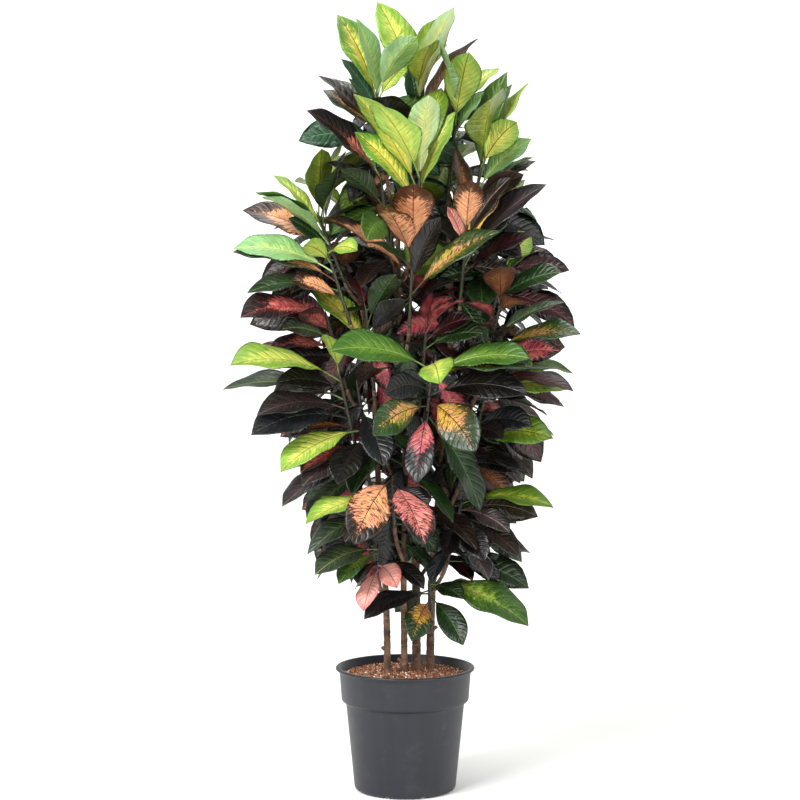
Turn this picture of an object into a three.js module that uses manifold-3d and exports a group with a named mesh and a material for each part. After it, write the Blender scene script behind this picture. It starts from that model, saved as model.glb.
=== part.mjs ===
// A potted croton, about 1.5 m tall: four rooted cuttings that branch into leafy shoots, standing in a round
// grower's pot of soil. Millimetres, +Z up, origin on the floor under the middle of the pot. The front of the
// plant looks along -Y, +X to the right as seen from the front. Every blade is a thin folded plate on its own
// petiole, and the petiole's root is sunk in its stem.
import * as THREE from "three";
import Module from "manifold-3d";
import { mergeVertices } from "three/addons/utils/BufferGeometryUtils.js";

const wasm = await Module();
wasm.setup();

const SEAT_GAP = 0.4; // between solids that touch

// Grower's pot, an injection-moulded shell
const POT_HEIGHT = 240;
const RIM_RADIUS = 135;
const RIM_LIP = 5;
const COLLAR_TOP_RADIUS = 128;
const COLLAR_FOOT_RADIUS = 123.5;
const COLLAR_HEIGHT = 63;
const SHOULDER_DROP = 9;
const BODY_TOP_RADIUS = 115;
const BODY_FOOT_RADIUS = 99;
const FOOT_ROUND = 9;
const POT_WALL = 2.2;
const POT_FLOOR = 11; // up to the inside of the bottom
const POT_SIDES = 32;
const DRAIN_NOTCHES = 8;
const DRAIN_NOTCH = { wide: 13, high: 6, deep: 16 };

// Potting soil
const SOIL_LEVEL = 225;
const SOIL_MOUND = 5;
const SOIL_CREST = 84; // the radius inside which the soil is heaped

// Wood and shoots
const TRUNK_SIDES = 6;
const TRUNK_STEPS = 8;
const TWIG_SIDES = 4;
const SHOOT_SIDES = 4;
const TWIG_STEPS = 2;
const TWIG_RADIUS = 4.2;
const SHOOT_RADIUS = 3.9;
const SHOOT_TIP_RADIUS = 3;
const BRANCH_RUN = 1.05; // how far down the trunk a branch leaves, in lengths of its reach
const BRANCH_DROP = 12; // and how much further than that
const BRANCH_BOW = 0.4; // of its length, in which it turns to its shoot's direction
const BUD_LENGTH = 16;

// Leaves
const PETIOLE_SHARE = 0.14; // of a leaf's length from stem to tip
const PETIOLE_RADIUS = 1.6;
const ROOT_OFFSET = 1.2; // from the stem's middle towards the leaf
const BLADE_THICKNESS = 0.9;
const WIDTH_SHARE = 0.42; // of a leaf's length
const SPARE_WIDTH_SHARE = 0.4;
const FOOT_TAPER = 1.1; // how sharply a blade narrows to its foot, and to its tip
const TIP_TAPER = 0.87;
const BLADE_FOLD = THREE.MathUtils.degToRad(15);
const BLADE_STATIONS = [0.3, 0.58, 0.84];
const SPARE_BLADE_STATIONS = [0.38, 0.74];
const BROAD = 46; // a blade that shows more than this to the front gets the finer stations
const GOLDEN_ANGLE = THREE.MathUtils.degToRad(137.508);

// How a midrib arches, as a share of its length: when it stands upright, and how much more when it lies level
const UPRIGHT_ARCH = 0.055;
const LEVEL_ARCH = 0.055;

// Spare leaves round a shoot: the lowest droops by DROOP radians, the youngest rises RISE more
const DROOP = 0.75;
const RISE = 1.55;
const SPARE_LENGTH = 190; // of the lowest
const SPARE_SHORTENING = 45; // of the youngest
const OUTWARD_PULL = 0.35; // away from the middle of the plant
const SPARE_ROLL = 0.35;
const RISE_BEND = 1.5; // above 1, most of the rise comes near the shoot's tip

// How far chance moves a spare leaf's direction, slope and length
const BEARING_SCATTER = 0.6;
const AWAY_SCATTER = 0.9; // of one that points away from the front, and how much more for each further leaf
const AWAY_WIDENING = 0.4;
const SLOPE_SCATTER = 0.15;
const LENGTH_SCATTER = 12;

// Space kept free round a leaf and round a stem, and the steps in which a leaf moves until it is clear
const KEEP_OUT = 1.6;
const STEM_KEEP_OUT = 2;
const DEPTH_STEP = 17;
const DEPTH_STEPS = 7;
const SPARE_STEP = 15;
const SPARE_RINGS = 4;
const SPARE_TURNS = 8;
const ROLL_TRIES = [0, 0.25, -0.25, 0.5, -0.5];
const SHORTER_TRIES = [1, 0.86, 0.74];
const UNDERSIDE_COST = 0.5; // radians of roll that are worth taking to keep a blade's upper face in front

// The point that the front view is seen from
const EYE_DISTANCE = 4060;
const EYE_HEIGHT = 1000;

const point = (x, y, z) => new THREE.Vector3(x, y, z);
const UP = point(0, 0, 1);

// A point seen at x and z on the front elevation, taken to the depth y where it really is.
function atDepth(x, z, y) {
  const reach = (EYE_DISTANCE + y) / EYE_DISTANCE;
  return point(x * reach, y, EYE_HEIGHT + (z - EYE_HEIGHT) * reach);
}

// Short snags left where old branches were cut off.
const SNAG_RADIUS = 3.4;
const snags = [
  { trunk: "left", from: [-33, -15, 268], to: [-45, -19, 281] },
  { trunk: "front", from: [-3, -3, 246], to: [-14, -7, 256] },
  { trunk: "right", from: [50, 39, 300], to: [62, 34, 312] },
];

// The four cuttings: the route of each trunk from its root end, and its radius at both ends.
const trunks = {
  left: {
    route: [
      [-34, -16, 130], [-35, -15, 300], [-40, -2, 430], [-52, 12, 600], [-64, 22, 800], [-84, 26, 940],
    ],
    radii: [7.6, 4.8],
  },
  front: {
    route: [
      [0, -2, 130], [-2, -2, 300], [-3, -8, 450], [0, -14, 620], [-4, -10, 800], [-12, 0, 960],
      [-14, 6, 1090],
    ],
    radii: [7.2, 4.6],
  },
  back: {
    route: [[21, 24, 130], [22, 30, 300], [20, 46, 480], [14, 64, 700], [6, 74, 900], [12, 66, 1100]],
    radii: [10, 5],
  },
  right: {
    route: [
      [49, 42, 130], [50, 40, 300], [56, 36, 450], [70, 28, 620], [86, 22, 800], [88, 22, 980],
      [84, 26, 1060],
    ],
    radii: [9, 5],
  },
};

// The shoots. Each has the trunk that it grows on, its foot and top, and its leaves from the lowest to the
// youngest. A leaf is [x and z of its tip on the front elevation, its length from the stem, and the width
// that its blade shows to the front]. A length below zero points away from the front. "spare" is how many
// more leaves the shoot carries round its other sides.
const shoots = {
  top_left: {
    trunk: "front", foot: [-36, -4, 1190], top: [-54, -12, 1345], leafy: 95, spare: 2,
    leaves: [
      [-168, 1381, 190, 24], [-158, 1352, 150, 42], [-110, 1376, 95, 22], [-141, 1376, -130, 14],
      [-123, 1412, 125, 32], [-95, 1491, -170, 34], [-130, 1496, 185, 62], [8, 1405, 95, 34],
      [23, 1455, 150, 55],
    ],
  },
  top_middle: {
    trunk: "back", foot: [14, 44, 1190], top: [22, 38, 1350], leafy: 80, spare: 3,
    leaves: [
      [-60, 1338, 135, 40], [142, 1452, 165, 26], [7, 1397, -97, 40], [94, 1511, -190, 48],
      [-54, 1521, -193, 70], [66, 1491, 170, 56], [51, 1441, 122, 44],
    ],
  },
  top_right: {
    trunk: "right", foot: [84, 12, 1165], top: [98, 0, 1312], leafy: 80, spare: 3,
    leaves: [[75, 1373, -110, 32], [151, 1349, -110, 22], [122, 1425, 165, 74], [62, 1453, 165, 48]],
  },
  crown_front: {
    trunk: "front", foot: [20, -66, 1075], top: [28, -84, 1195], leafy: 70, spare: 2,
    leaves: [
      [-98, 1273, 150, 48], [98, 1313, 150, 42], [-100, 1346, 205, 48], [8, 1304, 125, 40],
      [-58, 1326, 170, 58], [45, 1343, 165, 66],
    ],
  },
  shoulder_right: {
    trunk: "right", foot: [124, 2, 1080], top: [146, -14, 1215], leafy: 90, spare: 1,
    leaves: [
      [228, 1192, 130, 44], [252, 1217, 135, 26], [247, 1224, 150, 14], [243, 1260, -130, 42],
      [240, 1370, -190, 18], [196, 1388, -190, 48], [206, 1366, -170, 46], [214, 1292, 145, 62],
      [166, 1338, 160, 68],
    ],
  },
  shoulder_left: {
    trunk: "front", foot: [-30, -36, 1050], top: [-46, -48, 1180], leafy: 80, spare: 2,
    leaves: [[-75, 1066, 150, 66], [-125, 1201, 125, 40], [-153, 1213, 130, 16], [-190, 1314, 205, 38]],
  },
  left_upper: {
    trunk: "left", foot: [-116, 4, 985], top: [-166, -12, 1112], leafy: 80, spare: 1,
    leaves: [
      [-225, 1108, 115, 32], [-313, 1123, 165, 52], [-280, 1150, -140, 26], [-290, 1158, 140, 44],
      [-255, 1191, -130, 20], [-112, 1238, -150, 22], [-120, 1252, 150, 30], [-130, 1206, 120, 24],
      [-160, 1241, 145, 50],
    ],
  },
  left_mid: {
    trunk: "left", foot: [-104, -48, 905], top: [-146, -66, 1040], leafy: 95, spare: 2,
    leaves: [
      [-222, 988, 120, 30], [-305, 964, 180, 34], [-332, 1043, 190, 44], [-331, 1050, 190, 46],
      [-195, 1056, 105, 42], [-92, 1045, 100, 28],
    ],
  },
  centre_ember: {
    trunk: "front", foot: [8, -60, 900], top: [14, -74, 1045], leafy: 85, spare: 1,
    leaves: [
      [186, 1083, 190, 38], [69, 1111, 145, 50], [-160, 1110, 190, 28], [-76, 1063, 105, 16],
      [-46, 1136, 145, 50], [16, 1174, 160, 82],
    ],
  },
  right_ember: {
    trunk: "right", foot: [104, -44, 940], top: [116, -64, 1085], leafy: 85, spare: 1,
    leaves: [
      [255, 1078, 155, 28], [222, 1138, 125, 38], [272, 1173, 175, 22], [190, 1171, 120, 36],
      [80, 1131, 105, 24], [205, 1188, 145, 38], [126, 1181, 135, 62], [95, 1246, -165, 40],
    ],
  },
  right_mid: {
    trunk: "right", foot: [154, 0, 880], top: [192, -16, 1018], leafy: 75, spare: 2,
    leaves: [[302, 1005, 155, 38], [246, 1003, -110, 34], [251, 1057, -115, 26], [242, 1078, 115, 54]],
  },
  right_brown: {
    trunk: "right", foot: [146, -58, 800], top: [180, -76, 942], leafy: 85, spare: 2,
    leaves: [
      [211, 902, 95, 20], [308, 947, 150, 18], [150, 902, 100, 32], [115, 946, 120, 24], [233, 946, 115, 30],
      [182, 1014, 135, 66],
    ],
  },
  centre_red: {
    trunk: "back", foot: [30, -20, 775], top: [42, -44, 920], leafy: 80, spare: 2,
    leaves: [
      [-10, 868, 110, 22], [151, 886, 145, 36], [130, 915, 125, 34], [112, 948, 120, 28], [45, 961, 100, 26],
      [90, 956, 110, 26],
    ],
  },
  centre_left: {
    trunk: "left", foot: [-60, -34, 780], top: [-74, -52, 930], leafy: 75, spare: 2,
    leaves: [[-192, 979, 165, 44], [0, 952, 120, 44], [-18, 1001, 130, 50], [-5, 990, 125, 32]],
  },
  left_red: {
    trunk: "left", foot: [-112, -14, 780], top: [-150, -30, 920], leafy: 85, spare: 1,
    leaves: [
      [-253, 822, 135, 44], [-262, 856, 140, 26], [-237, 895, 125, 30], [-205, 925, 110, 42],
      [-290, 928, 160, 28], [-318, 917, 200, 46],
    ],
  },
  left_low: {
    trunk: "left", foot: [-92, -44, 660], top: [-126, -62, 815], leafy: 110, spare: 1,
    leaves: [
      [-222, 688, 130, 24], [-298, 690, 215, 58], [-287, 728, 180, 36], [-353, 778, 230, 30],
      [-250, 790, 145, 34], [-338, 825, 215, 30], [-150, 884, 115, 38],
    ],
  },
  centre_low: {
    trunk: "front", foot: [38, -62, 690], top: [50, -84, 830], leafy: 100, spare: 0,
    leaves: [
      [145, 541, 170, 54], [23, 595, 165, 60], [-63, 689, 160, 66], [137, 657, 175, 84], [237, 768, 200, 56],
      [-40, 769, 130, 52], [-15, 803, 105, 28], [250, 818, 210, 28], [241, 838, 200, 44],
      [-147, 853, 205, 54],
      [67, 789, 150, 74],
    ],
  },
  right_low: {
    trunk: "right", foot: [142, -14, 720], top: [174, -30, 858], leafy: 90, spare: 2,
    leaves: [
      [318, 779, 160, 42], [325, 775, 175, 26], [326, 808, -170, 26], [246, 827, 120, 50],
      [339, 885, 175, 32],
    ],
  },
  right_lower: {
    trunk: "right", foot: [102, -16, 590], top: [130, -30, 712], leafy: 80, spare: 2,
    leaves: [
      [215, 617, 135, 30], [225, 620, 145, 14], [130, 607, 125, 36], [286, 684, 170, 56], [190, 683, 115, 32],
      [246, 707, 145, 44],
    ],
  },
  left_lower: {
    trunk: "left", foot: [-66, -30, 585], top: [-82, -44, 702], leafy: 80, spare: 1,
    leaves: [
      [-190, 521, 170, 38], [-238, 551, 170, 26], [-200, 590, 140, 32], [-203, 616, 140, 28],
      [-130, 594, 145, 60],
      [-241, 618, 180, 44],
    ],
  },
  front_pink: {
    trunk: "front", foot: [-20, -66, 520], top: [-24, -92, 616], leafy: 70, spare: 1,
    leaves: [
      [-117, 482, 160, 30], [-190, 458, 200, 28], [-193, 517, 190, 18], [-152, 500, 158, 58],
      [46, 552, 105, 28],
      [38, 475, 172, 62], [-100, 476, 184, 84],
    ],
  },
  right_base: {
    trunk: "right", foot: [82, -4, 445], top: [108, -22, 560], leafy: 75, spare: 1,
    leaves: [
      [52, 400, 125, 26], [162, 407, 155, 26], [78, 455, 115, 46], [155, 445, 125, 52], [221, 454, 160, 38],
      [203, 500, 125, 34], [288, 549, 185, 26],
    ],
  },
  left_base: {
    trunk: "left", foot: [-50, -40, 415], top: [-52, -52, 475], leafy: 40, spare: 1,
    leaves: [
      [-81, 347, 130, 38], [-15, 392, 115, 44], [-93, 401, 115, 16], [37, 390, 130, 26], [-129, 400, 120, 30],
      [-175, 418, 160, 38],
    ],
  },
  foot: {
    trunk: "right", foot: [50, 4, 350], top: [46, -14, 402], leafy: 34, spare: 1,
    leaves: [
      [12, 289, 135, 58], [113, 280, 140, 52], [-80, 331, 150, 30], [-20, 345, -115, 38], [112, 371, 110, 24],
      [240, 318, 240, 52],
    ],
  },
  inner_high: {
    trunk: "front", foot: [-22, 20, 985], top: [-26, 18, 1085], leafy: 80, spare: 7, leaves: [],
  },
  inner_middle: {
    trunk: "back", foot: [4, 34, 850], top: [2, 10, 935], leafy: 80, spare: 7, leaves: [],
  },
  inner_low: {
    trunk: "front", foot: [-34, -14, 640], top: [-44, -22, 730], leafy: 80, spare: 7, leaves: [],
  },
  inner_right: {
    trunk: "right", foot: [100, 34, 800], top: [114, 56, 886], leafy: 80, spare: 7, leaves: [],
  },
  inner_left: {
    trunk: "left", foot: [-78, -8, 700], top: [-92, -16, 790], leafy: 80, spare: 7, leaves: [],
  },
  inner_foot: {
    trunk: "back", foot: [28, 8, 520], top: [30, -10, 605], leafy: 76, spare: 6, leaves: [],
  },
  back_top: {
    trunk: "back", foot: [-14, 98, 1140], top: [-34, 108, 1275], leafy: 100, spare: 8, leaves: [],
  },
  back_crown: {
    trunk: "back", foot: [66, 96, 1080], top: [92, 112, 1205], leafy: 100, spare: 8, leaves: [],
  },
  back_left_high: {
    trunk: "left", foot: [-96, 74, 1010], top: [-118, 92, 1130], leafy: 100, spare: 8, leaves: [],
  },
  back_right_high: {
    trunk: "right", foot: [134, 66, 960], top: [160, 82, 1075], leafy: 100, spare: 8, leaves: [],
  },
  back_middle: {
    trunk: "back", foot: [-34, 130, 900], top: [-56, 150, 1020], leafy: 100, spare: 8, leaves: [],
  },
  back_right_mid: {
    trunk: "back", foot: [50, 136, 830], top: [72, 156, 950], leafy: 100, spare: 8, leaves: [],
  },
  back_left_low: {
    trunk: "left", foot: [-116, 78, 760], top: [-146, 96, 875], leafy: 100, spare: 8, leaves: [],
  },
  back_right_low: {
    trunk: "right", foot: [138, 82, 700], top: [166, 100, 815], leafy: 100, spare: 8, leaves: [],
  },
  back_low: {
    trunk: "back", foot: [0, 132, 640], top: [-6, 154, 760], leafy: 100, spare: 8, leaves: [],
  },
  back_foot_left: {
    trunk: "left", foot: [-80, 74, 540], top: [-98, 92, 640], leafy: 90, spare: 8, leaves: [],
  },
  back_foot_right: {
    trunk: "back", foot: [64, 96, 480], top: [78, 116, 590], leafy: 90, spare: 8, leaves: [],
  },
};

// A fair scatter from -1 to 1 that is the same on every run.
function scatter(seed) {
  const x = Math.sin(seed * 12.9898 + 4.1414) * 43758.5453;
  return 2 * (x - Math.floor(x)) - 1;
}

// How wide a blade is, as a share of its widest, at u from its foot (0) to its tip (1).
const widest = FOOT_TAPER / (FOOT_TAPER + TIP_TAPER);
function bladeShare(u) {
  return (u / widest) ** FOOT_TAPER * ((1 - u) / (1 - widest)) ** TIP_TAPER;
}

const stationsFor = (shown) => (shown > BROAD ? BLADE_STATIONS : SPARE_BLADE_STATIONS);

// A leaf laid out from its root on the stem to its tip: an arched midrib in an upright plane, with the blade
// turned about it by roll. The blade's halves rise from the midrib by the fold. A leaf that stands straight up
// has no level direction of its own, so it takes X.
const LEAST_LEVEL = 0.02;
function layLeaf(root, tip, width, roll, arch) {
  const chord = tip.clone().sub(root);
  const length = chord.length();
  const along = chord.clone().normalize();
  const level = Math.hypot(along.x, along.y);
  const side = level > LEAST_LEVEL ? point(-along.y / level, along.x / level, 0) : point(1, 0, 0);
  const top = along.clone().cross(side);
  const crest = root.clone().lerp(tip, 0.5).addScaledVector(top, arch * length * 2);
  const midrib = new THREE.QuadraticBezierCurve3(root, crest, tip);
  const stationAt = (u, extra = 0) => {
    const s = PETIOLE_SHARE + (1 - PETIOLE_SHARE) * u;
    const at = midrib.getPoint(s);
    const tangent = midrib.getTangent(s);
    const across = side.clone().applyAxisAngle(tangent, roll);
    const face = tangent.clone().cross(across);
    const half = 0.5 * width * bladeShare(u) + extra;
    const out = half * Math.cos(BLADE_FOLD);
    const rise = half * Math.sin(BLADE_FOLD);
    return {
      centre: at,
      face,
      left: at.clone().addScaledVector(across, out).addScaledVector(face, rise),
      right: at.clone().addScaledVector(across, -out).addScaledVector(face, rise),
    };
  };
  return { tip, roll, midrib, side, stationAt };
}

// The roll that makes a blade show the wanted width to the front, by the least turn, upper face first.
function rollToShow(root, tip, width, shown) {
  const along = tip.clone().sub(root).normalize();
  const level = Math.hypot(along.x, along.y);
  const side = point(-along.y / level, along.x / level, 0);
  const top = along.clone().cross(side);
  const seen = Math.hypot(along.x, along.z);
  const over = point(-along.z / seen, 0, along.x / seen);
  const sideSeen = side.dot(over);
  const topSeen = top.dot(over);
  const lean = Math.atan2(topSeen, sideSeen);
  const open = Math.acos(Math.min(1, shown / (width * Math.hypot(sideSeen, topSeen))));
  let best = 0;
  let least = Infinity;
  for (const turn of [lean + open, lean - open]) {
    const roll = turn - Math.PI * Math.round(turn / Math.PI);
    const face = top.clone().multiplyScalar(Math.cos(roll)).addScaledVector(side, -Math.sin(roll));
    const cost = Math.abs(roll) + (face.y > 0 ? UNDERSIDE_COST : 0);
    if (cost < least) {
      least = cost;
      best = roll;
    }
  }
  return best;
}

// A petiole's three-sided section at a share s of its leaf's length.
function petioleRing(leaf, s, extra = 0) {
  const at = leaf.midrib.getPoint(s);
  const tangent = leaf.midrib.getTangent(s);
  return [0, 1, 2].map((i) => {
    const turn = (i * 2 * Math.PI) / 3 - Math.PI / 6;
    const arm = leaf.side.clone().applyAxisAngle(tangent, leaf.roll + turn);
    return at.clone().addScaledVector(arm, PETIOLE_RADIUS + extra);
  });
}

// The blade's middle surface as triangles.
function bladeFacets(leaf, stations) {
  const foot = leaf.stationAt(0).centre;
  const rows = stations.map((u) => leaf.stationAt(u));
  const facets = [];
  for (const edge of ["left", "right"]) {
    facets.push([foot, rows[0][edge], rows[0].centre]);
    rows.slice(1).forEach((next, i) => {
      const row = rows[i];
      facets.push([row[edge], row.centre, next.centre], [row[edge], next.centre, next[edge]]);
    });
    const last = rows[rows.length - 1];
    facets.push([last[edge], last.centre, leaf.tip]);
  }
  return facets;
}

// The petiole's sides as triangles, from just off the stem to just inside the blade.
const PETIOLE_TEST = [0.04, PETIOLE_SHARE + 0.02];
function petioleFacets(leaf) {
  const [near, far] = PETIOLE_TEST.map((s) => petioleRing(leaf, s));
  return [0, 1, 2].flatMap((i) => {
    const j = (i + 1) % 3;
    return [[near[i], near[j], far[j]], [near[i], far[j], far[i]]];
  });
}

// Whether the segment from start to end passes through a triangle.
const firstEdge = point(0, 0, 0);
const secondEdge = point(0, 0, 0);
const run = point(0, 0, 0);
const tilt = point(0, 0, 0);
const off = point(0, 0, 0);
const turned = point(0, 0, 0);
function pierces(start, end, [a, b, c]) {
  run.subVectors(end, start);
  firstEdge.subVectors(b, a);
  secondEdge.subVectors(c, a);
  tilt.crossVectors(run, secondEdge);
  const lean = firstEdge.dot(tilt);
  if (Math.abs(lean) < 1e-9) return false;
  off.subVectors(start, a);
  const u = off.dot(tilt) / lean;
  if (u < 0 || u > 1) return false;
  turned.crossVectors(off, firstEdge);
  const v = run.dot(turned) / lean;
  if (v < 0 || u + v > 1) return false;
  const t = secondEdge.dot(turned) / lean;
  return t >= 0 && t <= 1;
}

function facetsCross(mine, theirs) {
  for (const my of mine) {
    for (const their of theirs) {
      for (let i = 0; i < 3; i++) {
        const j = (i + 1) % 3;
        if (pierces(my[i], my[j], their) || pierces(their[i], their[j], my)) return true;
      }
    }
  }
  return false;
}

const boxOf = (facets) => new THREE.Box3().setFromPoints(facets.flat());

// What has been placed: each leaf's or stem's facets, drawn KEEP_OUT too large, with the shoot that owns it.
const placed = [];

function isClear(leaf, shoot, stations, own) {
  const blade = bladeFacets(leaf, stations);
  const whole = [...blade, ...petioleFacets(leaf)];
  const box = boxOf(whole);
  for (const other of placed) {
    const isOwn = other.shoot === shoot;
    if (isOwn && (other.isStem || !own)) continue;
    if (!box.intersectsBox(other.box)) continue;
    if (facetsCross(isOwn ? blade : whole, other.shell)) return false;
  }
  return true;
}

function keepLeaf(leaf, shoot, stations) {
  const shell = facetsOf(loft(leafRings(leaf, stations, KEEP_OUT)));
  placed.push({ shell, box: boxOf(shell), shoot, isStem: false });
  shoot.grown.push({ leaf, stations });
}

// The shifts of a leaf's tip, in steps: in depth for a leaf that is seen, and in rings round its first place
// for a spare one.
const depthShifts = [0];
for (let i = 1; i <= DEPTH_STEPS; i++) depthShifts.push(-i, i);
const spareShifts = [[0, 0]];
for (let ring = 1; ring <= SPARE_RINGS; ring++) {
  for (let n = 0; n < SPARE_TURNS; n++) {
    const turn = (n * 2 * Math.PI) / SPARE_TURNS;
    spareShifts.push([ring * Math.cos(turn), ring * Math.sin(turn)]);
  }
}

function archOf(root, tip) {
  const steepness = Math.abs(tip.z - root.z) / tip.distanceTo(root);
  return UPRIGHT_ARCH + LEVEL_ARCH * (1 - steepness);
}

// Where a leaf that heads for a point is rooted, a little off the middle of its stem.
function rootToward(middle, target) {
  const heading = point(target.x - middle.x, target.y - middle.y, 0).normalize();
  return middle.clone().addScaledVector(heading, ROOT_OFFSET);
}

// A leaf whose tip is seen in the front view: it keeps its place there, and moves in depth until it is clear.
function placeSeenLeaf(middle, [x, z, reach, shown], shoot) {
  const stations = stationsFor(shown);
  const away = reach < 0 ? 1 : -1;
  const flat = atDepth(x, z, middle.y);
  const seen = Math.hypot(flat.x - middle.x, flat.z - middle.z);
  const depth = Math.sqrt(Math.max(0, reach * reach - seen * seen));
  for (const own of [true, false]) {
    for (const turn of ROLL_TRIES) {
      for (const shift of depthShifts) {
        const tip = atDepth(x, z, middle.y + away * depth + shift * DEPTH_STEP);
        const root = rootToward(middle, tip);
        const width = Math.max(shown, WIDTH_SHARE * tip.distanceTo(root));
        const roll = rollToShow(root, tip, width, shown) + turn;
        const leaf = layLeaf(root, tip, width, roll, archOf(root, tip));
        if (isClear(leaf, shoot, stations, own)) return leaf;
      }
    }
  }
  return null;
}

// One of the leaves that fill a shoot's other sides, by the golden angle, drooping more the lower it sits.
// On a shoot that is seen from the front they all point away from it.
function placeSpareLeaf(shoot, index, seed) {
  const rank = shoot.spare > 1 ? index / (shoot.spare - 1) : 0.5;
  const away = Math.PI / 2 + AWAY_SCATTER * scatter(seed + 3) * (1 + AWAY_WIDENING * index);
  const around = GOLDEN_ANGLE * index + BEARING_SCATTER * scatter(seed);
  const bearing = shoot.leaves.length ? away : around;
  const slope = -DROOP + RISE * rank ** RISE_BEND + SLOPE_SCATTER * scatter(seed + 1);
  const reach = SPARE_LENGTH - SPARE_SHORTENING * rank + LENGTH_SCATTER * scatter(seed + 2);
  const roll = SPARE_ROLL * scatter(seed + 4);
  const outward = point(shoot.top[0], shoot.top[1], 0).normalize();
  const level = point(Math.cos(bearing), Math.sin(bearing), 0);
  level.addScaledVector(outward, OUTWARD_PULL).normalize();
  const across = point(-level.y, level.x, 0);
  const root = stemPoint(shoot, rank).addScaledVector(level, ROOT_OFFSET);
  for (const share of SHORTER_TRIES) {
    for (const [sideways, upwards] of spareShifts) {
      const tip = root.clone();
      tip.addScaledVector(level, share * reach * Math.cos(slope));
      tip.addScaledVector(UP, share * reach * Math.sin(slope) + upwards * SPARE_STEP);
      tip.addScaledVector(across, sideways * SPARE_STEP);
      const leaf = layLeaf(root, tip, SPARE_WIDTH_SHARE * tip.distanceTo(root), roll, archOf(root, tip));
      if (isClear(leaf, shoot, SPARE_BLADE_STATIONS, true)) return leaf;
    }
  }
  return null;
}

// A closed solid through a row of rings. Rings may differ in size, and a ring of one point is a tip. The two
// halves of a blade are split alike on both faces, so that its top and underside never cross.
const BLADE_RING = 6;
const indexed = (positions, indices) => {
  const geometry = new THREE.BufferGeometry();
  geometry.setAttribute("position", new THREE.Float32BufferAttribute(positions, 3));
  geometry.setIndex(indices);
  return geometry;
};

function loft(rings) {
  const vertices = rings.flat();
  const starts = [];
  rings.reduce((n, ring) => (starts.push(n), n + ring.length), 0);
  const faces = [];
  const cap = (start, count, flip) => {
    for (let i = 1; i + 1 < count; i++) {
      faces.push(flip ? [start, start + i + 1, start + i] : [start, start + i, start + i + 1]);
    }
  };
  cap(starts[0], rings[0].length, true);
  cap(starts[rings.length - 1], rings[rings.length - 1].length, false);
  for (let r = 0; r + 1 < rings.length; r++) {
    const m = rings[r].length;
    const n = rings[r + 1].length;
    const near = (i) => starts[r] + (i % m);
    const far = (j) => starts[r + 1] + (j % n);
    if (n === 1) {
      for (let i = 0; i < m; i++) faces.push([near(i), near(i + 1), far(0)]);
    } else if (m === n) {
      for (let i = 0; i < m; i++) {
        if (m === BLADE_RING && i % 3 === 1) {
          faces.push([near(i), near(i + 1), far(i)], [near(i + 1), far(i + 1), far(i)]);
        } else {
          faces.push([near(i), near(i + 1), far(i + 1)], [near(i), far(i + 1), far(i)]);
        }
      }
    } else {
      let i = 0;
      let j = 0;
      while (i < m || j < n) {
        if (j >= n || (i < m && (i + 0.5) / m <= (j + 0.5) / n)) {
          faces.push([near(i), near(i + 1), far(j)]);
          i += 1;
        } else {
          faces.push([near(i), far(j + 1), far(j)]);
          j += 1;
        }
      }
    }
  }
  return indexed(vertices.flatMap((p) => p.toArray()), faces.flat());
}

// A leaf's solid: a three-sided petiole that opens into a blade with a top, an underside and an edge.
function leafRings(leaf, stations, extra = 0) {
  const bladeRing = (u) => {
    const { centre, face, left, right } = leaf.stationAt(u, extra);
    const half = face.clone().multiplyScalar(BLADE_THICKNESS / 2 + extra);
    const upper = [left, centre, right].map((p) => p.clone().add(half));
    const under = [right, centre, left].map((p) => p.clone().sub(half));
    return [...upper, ...under];
  };
  const petiole = [0, PETIOLE_SHARE].map((s) => petioleRing(leaf, s, extra));
  const end = leaf.tip.clone().addScaledVector(leaf.midrib.getTangent(1), 2 * extra);
  return [...petiole, ...stations.map(bladeRing), [end]];
}

function solidOf(geometry) {
  const bare = geometry.clone();
  bare.deleteAttribute("normal");
  bare.deleteAttribute("uv");
  const merged = mergeVertices(bare, 1e-4);
  return new wasm.Manifold(
    new wasm.Mesh({
      numProp: 3,
      vertProperties: new Float32Array(merged.attributes.position.array),
      triVerts: new Uint32Array(merged.index.array),
    }),
  );
}

function geometryOf(solid) {
  const { numProp, vertProperties, triVerts } = solid.getMesh();
  const positions = [];
  for (let i = 0; i < vertProperties.length; i += numProp) {
    positions.push(...vertProperties.subarray(i, i + 3));
  }
  return indexed(positions, [...triVerts]);
}

// Joining leaves slivers where surfaces meet at a point, and edges shorter than this are closed up.
const SHORTEST_EDGE = 0.02;
const fuse = (solids) => solids.reduce((whole, piece) => whole.add(piece)).simplify(SHORTEST_EDGE);

// A round stem along a curve, its radius running from one end's to the other's, with flat ends square to it.
function stem(curve, steps, sides, startRadius, endRadius, tipLength = 0) {
  const rings = [];
  const first = curve.getTangent(0);
  const across = point(0, 1, 0).cross(first).normalize();
  for (let i = 0; i <= steps; i++) {
    const t = i / steps;
    const at = curve.getPoint(t);
    const tangent = curve.getTangent(t);
    across.addScaledVector(tangent, -across.dot(tangent)).normalize();
    const radius = startRadius + (endRadius - startRadius) * t;
    const spoke = (n) => across.clone().applyAxisAngle(tangent, (2 * Math.PI * n) / sides);
    rings.push(Array.from({ length: sides }, (_, n) => at.clone().addScaledVector(spoke(n), radius)));
  }
  if (tipLength) rings.push([curve.getPoint(1).addScaledVector(curve.getTangent(1), tipLength)]);
  return loft(rings);
}

// The height along a trunk's route, found by halving, because each route climbs all the way.
const HALVINGS = 40;
function trunkPointAt(curve, z) {
  let low = 0;
  let high = 1;
  for (let i = 0; i < HALVINGS; i++) {
    const middle = (low + high) / 2;
    if (curve.getPoint(middle).z < z) low = middle;
    else high = middle;
  }
  return curve.getPoint(low);
}

const vectors = (list) => list.map((p) => point(...p));
const trunkCurves = Object.fromEntries(
  Object.entries(trunks).map(([name, { route }]) => [name, new THREE.CatmullRomCurve3(vectors(route))]),
);

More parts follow.
